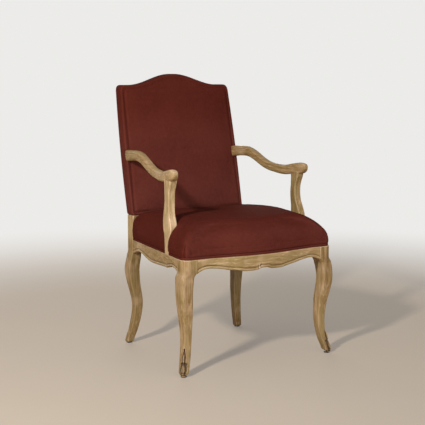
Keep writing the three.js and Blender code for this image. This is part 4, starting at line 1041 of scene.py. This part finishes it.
def buildSeat():
    look = seat
    bm = loft(finer(seatRings(0, chair["railTop"] + .5, look["step"])))

    def held(place):  # the tacked edge, the underside and the cuts round the posts and the arm supports
        x, y, z = place * metre
        sx, sy, _, halfX, halfY = supportAt(z)
        away = math.hypot(max(0, sx - halfX - abs(x)), max(0, abs(y - sy) - halfY))
        postX = chair["rearHalfWidth"] - chair["rearPost"]
        postAway = math.hypot(max(0, postX - abs(x)), max(0, postFrontY - y))
        free = smooth(0, 14, z - chair["railTop"] - look["bandHeight"])
        return 1 - free * smooth(0, 22, away) * smooth(0, 18, postAway)

    relaxCover(bm, held)
    foldCorners(bm)
    centre = Vector((0, look["centreY"], look["apex"])) / metre
    layWeave(bm, pulledFrom(centre, lambda d: (d.x, d.y), lambda d: -d.z))
    foamRings = seatRings(look["foamInset"], chair["railTop"] + look["foamFoot"], look["foamStep"])

    def paintedLightAt(place, normal):  # painted shade on the top and on the sides
        return -.17 * smooth(.6, .95, normal.z) - .22 * smooth(.4, .85, abs(normal.x))

    finishPadded("seat", bm, paintedLightAt, foamRings)


buildSeat()
print("seat made")

# the narrow folded band that hides the tacked edge of the seat cover
band = {
    "thickness": 3.2, "step": 4.0,
    # shares of half its thickness and half its height, from the lower edge out and up
    "section": ((.5, -1), (1, -.8), (1.05, -.3), (.62, 0), (1.05, .3), (.95, .8), (.4, 1), (-1, 1),
                (-1, -1)),
}


def bandAlong(name, points, node):
    half, high = band["thickness"] / 2, seat["bandHeight"] / 2
    rings = []
    for i, (x, y) in enumerate(points):
        before, after = points[max(i - 1, 0)], points[min(i + 1, len(points) - 1)]
        length = math.hypot(after[0] - before[0], after[1] - before[1])
        outX, outY = (after[1] - before[1]) / length, (before[0] - after[0]) / length
        rings.append([(x + outX * half * u, y + outY * half * u, supportFoot + high + high * v)
                      for u, v in band["section"]])
    bm = loft(rings)
    layWeave(bm, lambda p: (p.x + p.y, p.z))
    markWearAndShade(bm, .002)
    finishPiece(name, bm, coverCloth, (node,), 60)


def buildBands():
    step, inset = band["step"], seat["bandInset"]
    cornerX = chair["frontHalfWidth"] - seat["cornerRadius"]
    radius = seat["cornerRadius"] - inset
    reach = supports["shares"][1][4] * supports["depth"] / 2 + 2
    half = [(x, frontFace(x) + inset) for x in spread(0, cornerX, step)]
    half += [(cornerX + radius * math.sin(a), frontPlane + seat["cornerRadius"] - radius * math.cos(a))
             for a in spread(.12, math.pi / 2, .12)]
    half += [(sideOuter(y) - inset, y) for y in spread(blockRearY, supports["footY"] - reach, step)]
    bandAlong("seatBand_front", [(-x, y) for x, y in half[:0:-1]] + half, "seat_band_front")
    for word, side in sideNames:
        points = [(side * (sideOuter(y) - inset), y)
                  for y in spread(supports["footY"] + reach, postFrontY - 1, step)]
        bandAlong(f"seatBand_{word}", points if side > 0 else points[::-1], f"seat_band_{word}")
    rearY = postRearY - seat["rearSetback"] - inset + band["thickness"] / 2
    innerX = chair["rearHalfWidth"] - chair["rearPost"] - 1
    bandAlong("seatBand_rear", [(x, rearY) for x in spread(innerX, -innerX, -step)], "seat_band_rear")


buildBands()

# back: a crowned cover with a rolled edge and a shallow valley inside it
back = {
    "sideDepth": 45.0, "roll": 8.0, "valley": 3.4, "valleyAt": 17.0, "valleyWidth": 6.0, "crown": 15.0,
    "centreZ": 745.0, "topRound": 18.0, "bottomRound": 8.0, "step": 5.0, "rim": 2.0,
    "sideRows": (6, 12, 18, 24), "rollTurns": (0, 12, 24, 36, 48, 60, 72, 84),
    "faceRows": (0, .008, .017, .027, .038, .05, .063, .078, .1, .13, .17, .23, .3, .38, .47, .57, .67, .77,
                 .86, .93, .98),
    "foamInset": 6.0, "foamDepth": 31.5, "foamStep": 16.0, "tone": .1, "middleShade": .1, "topShade": .18,
}


def backOutline(inset, step):
    low, high = chair["backBottom"], chair["shoulderTop"]
    lowRound, highRound = back["bottomRound"] - min(inset, 4), back["topRound"] - min(inset, 9)
    foot = low + inset
    lowX, highX = backHalfWidth(low) - inset, backHalfWidth(high) - inset
    right = [(x, foot) for x in spread(0, lowX - lowRound, step)]
    right += [(lowX - lowRound * (1 - math.sin(a)), foot + lowRound * (1 - math.cos(a)))
              for a in spread(.25, math.pi / 2, .26)]
    right += [(backHalfWidth(z) - inset, z)
              for z in spread(foot + lowRound + 2, high - inset - highRound - 1, step)]
    right += [(highX - highRound * (1 - math.cos(a)), high - inset - highRound * (1 - math.sin(a)))
              for a in spread(0, math.pi / 2, .2)]
    right += [(x, humpHeight(x) - inset) for x in spread(highX - highRound - 4, 0, -step)]
    left = [(-x, z) for x, z in right[-2:0:-1]]
    return right + left


def backRings(inset, startDepth, step):
    look = back
    outline = [Vector(p) for p in backOutline(inset, step)]
    centre = Vector((0, look["centreZ"]))
    face = look["sideDepth"] - inset

    def placed(p, depth):
        return (p.x, rearLine(p.y) - depth, p.y)

    rings = [[placed(p, depth) for p in outline]
             for depth in (startDepth, *look["sideRows"], face - look["roll"] - 1)]
    for turn in look["rollTurns"]:
        a = math.radians(turn)
        rings.append([placed(towards(centre, p, look["roll"] * (1 - math.cos(a))),
                             face - look["roll"] * (1 - math.sin(a))) for p in outline])
    for place in look["faceRows"]:
        crown = look["crown"] * (1 - (1 - place) ** 2.4)
        ring = []
        for p in outline:
            distance = look["roll"] + place * ((p - centre).length - look["roll"])
            dip = look["valley"] * math.exp(-((distance - look["valleyAt"]) / look["valleyWidth"]) ** 2)
            sides = smooth(150, 215, abs(p.x)) * (1 - smooth(950, 1000, p.y))  # it is deepest there
            dip *= .45 + .55 * sides
            ring.append(placed(towards(centre, p, distance), face + crown - dip))
        rings.append(ring)
    return rings


def buildBack():
    look = back
    bm = loft(finer(backRings(0, look["rim"], look["step"])))

    def held(place):  # the tacked rear, the roll round the edge and its seam
        x, y, z = place * metre
        edgeAway = min(backHalfWidth(z) - abs(x), z - chair["backBottom"], humpHeight(x) - z)
        return 1 - smooth(0, 12, rearLine(z) - y - 30) * smooth(14, 60, edgeAway)

    def paintedLightAt(place, normal):  # painted light low down and painted shade towards the top
        return (look["tone"] - look["middleShade"] * smooth(540, 745, place.z)
                - look["topShade"] * smooth(745, 930, place.z))

    relaxCover(bm, held)
    centre = Vector((0, rearLine(look["centreZ"]) - 60, look["centreZ"])) / metre
    layWeave(bm, pulledFrom(centre, lambda d: (d.x, d.z), lambda d: d.y))
    finishPadded("back", bm, paintedLightAt, backRings(look["foamInset"], look["foamDepth"], look["foamStep"]))


# the panel that closes the back: (share of the way in, depth) rows from the middle out and in again
outsidePanel = {
    "inset": 3.0, "step": 8.0, "sink": 1.4,
    "frontRows": (.97, .9, .8, .68, .55, .42, .3, .2, .12, .06, .02),
    "edgeRows": ((.002, .15), (-.002, .5), (-.002, 1.1), (.002, 1.5)),
    "rearRows": (.01, .1, .3, .55, .8, .97), "frontDepth": .1, "rearDepth": 1.7,
}


def buildOutsideBack():
    look = outsidePanel
    outline = [Vector(p) for p in backOutline(look["inset"], look["step"])]
    centre = Vector((0, back["centreZ"]))
    rows = [(place, look["frontDepth"] - look["sink"] * smooth(0, .5, place)) for place in look["frontRows"]]
    rows += look["edgeRows"]
    rows += [(place, look["rearDepth"] - look["sink"] * smooth(0, .5, place)) for place in look["rearRows"]]
    rings = []
    for place, depth in rows:
        points = [centre + (p - centre) * (1 - place) for p in outline]
        rings.append([(x, rearLine(z) - depth, z) for x, z in points])
    bm = loft(rings)
    layWeave(bm, lambda p: (p.x, p.z))
    markWearAndShade(bm, .004)
    panel = finishPiece("outsideBack", bm, coverCloth, ("outside_back",), 0)


buildBack()
buildOutsideBack()
print("back made")

# hidden pieces: webbing, corner blocks, glides, screws and crest rail, with the width of their eased edges
easedWidths = {"strap": .4, "block": 1.2, "glide": .5, "crest": 2}
for node in sorted(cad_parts):
    if "strap" in node:
        strap = softenedCopy(node.replace("_strap", "Strap"), node, jute, easedWidths["strap"], 1)
        weave = strap.data.attributes.new("weave", "FLOAT_VECTOR", "POINT")
        for point, vertex in zip(weave.data, strap.data.vertices):
            point.vector = (vertex.co.x, vertex.co.z if "back" in node else vertex.co.y, 0)
    elif "corner_block" in node:
        softenedCopy(node.replace("corner_block", "cornerBlock"), node, beechAcross,
                     easedWidths["block"])
    elif "glide" in node:
        softenedCopy(node.replace("foot_glide", "footGlide"), node, glideNylon,
                     easedWidths["glide"])
    elif "screw" in node:
        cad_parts[node].data.materials.clear()
        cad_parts[node].data.materials.append(screwSteel)
softenedCopy("crestRail", "crest_rail", beechAcross, easedWidths["crest"])

dustCover = {"setback": 8.0, "frontRun": 20.0, "sag": 3.0, "thickness": 1.0, "segments": (48, 40)}


def buildDustCover():
    look = dustCover
    low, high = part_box("dust_cover")
    bm = bmesh.new()
    bmesh.ops.create_grid(bm, x_segments=look["segments"][0], y_segments=look["segments"][1], size=1)
    for v in bm.verts:
        u, w = v.co.x, v.co.y
        y = low[1] * metre + (w + 1) / 2 * (high[1] - low[1]) * metre
        x = u * min(sideOuter(y) - look["setback"], abs(low[0]) * metre)
        if w < 0:
            y = max(y, frontFace(x) + look["setback"] + (w + 1) * look["frontRun"])
        z = (low[2] + high[2]) / 2 - look["sag"] / metre * (1 - u * u) * (1 - w * w)
        v.co = Vector((x / metre, y / metre, z))
    layWeave(bm, lambda p: (p.x, p.y))
    bmesh.ops.solidify(bm, geom=bm.faces[:], thickness=look["thickness"] / metre)
    bmesh.ops.recalc_face_normals(bm, faces=bm.faces[:])
    markWearAndShade(bm, .002)
    lining = finishPiece("dustCover", bm, liningCloth, ("dust_cover",))


buildDustCover()
print("hidden pieces made")

# floor, wall, lamps and camera
stageLook = {
    "floor": (182, 164, 143), "wall": (236, 235, 233), "floorGlowShare": .16, "nearFade": 1.1, "farFade": 3.3,
    "light": (1, .985, .96), "ambient": 0.27,
    # name, place, aim, size and power
    "lamps": (("frontLamp", (-.55, -8, 1.8), (0, 0, .5), (8, 3.2), 325.0),
              ("windowLamp", (-3.38, -1.96, 2.55), (0, 0, .55), (.3, .3), 172.0),
              ("rearLamp", (1.4, 4.6, 1.1), (0, 0, .5), (4, 1.6), 90.0)),
    "lens": 89.75, "sensor": 36.0, "cameraPlace": (-2.079, -3.3395, 1.034),
    "cameraTurn": (82.45, 0, -31.81),
}


def floorMaterial(name, look):  # a pale floor that turns into the pale wall far from the chair; nearer, a share of the wall's glow is painted light that weakens the floor's shadows
    material, tree, shader = newMaterial(name)
    place = objectPlace(tree)
    spots = [c - 6 for c in look["floor"]]
    base = layColours(tree, colour(*look["floor"]), ((noiseAt(tree, place, 3, 3), .3, .7, .25, spots),))
    tree.links.new(base, shader.inputs["Base Color"])
    shader.inputs["Roughness"].default_value = 0.8
    shader.inputs["Specular IOR Level"].default_value = 0.1
    wall = addNode(tree, "ShaderNodeEmission", {"Color": colour(*look["wall"]), "Strength": 1.0})
    away = addNode(tree, "ShaderNodeVectorMath", {0: place}, operation="LENGTH").outputs["Value"]
    inputs = {"Value": away, "From Min": look["nearFade"], "From Max": look["farFade"], "To Min": look["floorGlowShare"]}
    fade = addNode(tree, "ShaderNodeMapRange", inputs, interpolation_type="SMOOTHSTEP").outputs["Result"]
    seen = addNode(tree, "ShaderNodeLightPath").outputs["Is Camera Ray"]
    inputs = {0: combine(tree, "MULTIPLY", fade, seen), 1: shader.outputs[0], 2: wall.outputs[0]}
    mixed = addNode(tree, "ShaderNodeMixShader", inputs)
    tree.links.new(mixed.outputs[0], tree.nodes["Material Output"].inputs["Surface"])
    return material


def buildStage():
    bm = bmesh.new()
    bmesh.ops.create_grid(bm, x_segments=1, y_segments=1, size=40)
    mesh = bpy.data.meshes.new("floor")
    bm.to_mesh(mesh)
    bm.free()
    floor = bpy.data.objects.new("floor", mesh)
    floor.data.materials.append(floorMaterial("paleFloor", stageLook))
    scene.collection.objects.link(floor)


def addLamp(name, place, aim, size, power):
    data = bpy.data.lights.new(name, "AREA")
    data.shape = "RECTANGLE"
    data.size, data.size_y = size
    data.energy = power
    data.color = stageLook["light"]
    lamp = bpy.data.objects.new(name, data)
    lamp.location = place
    lamp.rotation_euler = (Vector(aim) - Vector(place)).to_track_quat("-Z", "Y").to_euler()
    lamp.visible_camera = False
    scene.collection.objects.link(lamp)


def buildWorld():  # a soft even light, with the pale wall for the camera and for gloss
    world = bpy.data.worlds.new("studio")
    world.use_nodes = True
    scene.world = world
    tree = world.node_tree
    light = tree.nodes["Background"]
    light.inputs["Color"].default_value = (*stageLook["light"], 1)
    light.inputs["Strength"].default_value = stageLook["ambient"]
    wall = addNode(tree, "ShaderNodeBackground", {"Color": colour(*stageLook["wall"]), "Strength": 1.0})
    rays = addNode(tree, "ShaderNodeLightPath").outputs
    seen = combine(tree, "MAXIMUM", rays["Is Camera Ray"],
                   combine(tree, "MAXIMUM", rays["Is Glossy Ray"], rays["Is Transmission Ray"]))
    mixed = addNode(tree, "ShaderNodeMixShader", {0: seen, 1: light.outputs[0], 2: wall.outputs[0]})
    tree.links.new(mixed.outputs[0], tree.nodes["World Output"].inputs["Surface"])


def addCamera():
    data = bpy.data.cameras.new("camera")
    data.lens = stageLook["lens"]
    data.sensor_width = stageLook["sensor"]
    camera = bpy.data.objects.new("camera", data)
    camera.location = stageLook["cameraPlace"]
    camera.rotation_euler = [math.radians(turn) for turn in stageLook["cameraTurn"]]
    scene.collection.objects.link(camera)
    scene.camera = camera


buildStage()
for lamp in stageLook["lamps"]:
    addLamp(*lamp)
buildWorld()
addCamera()
scene.view_settings.view_transform = "Standard"
print("stage set")
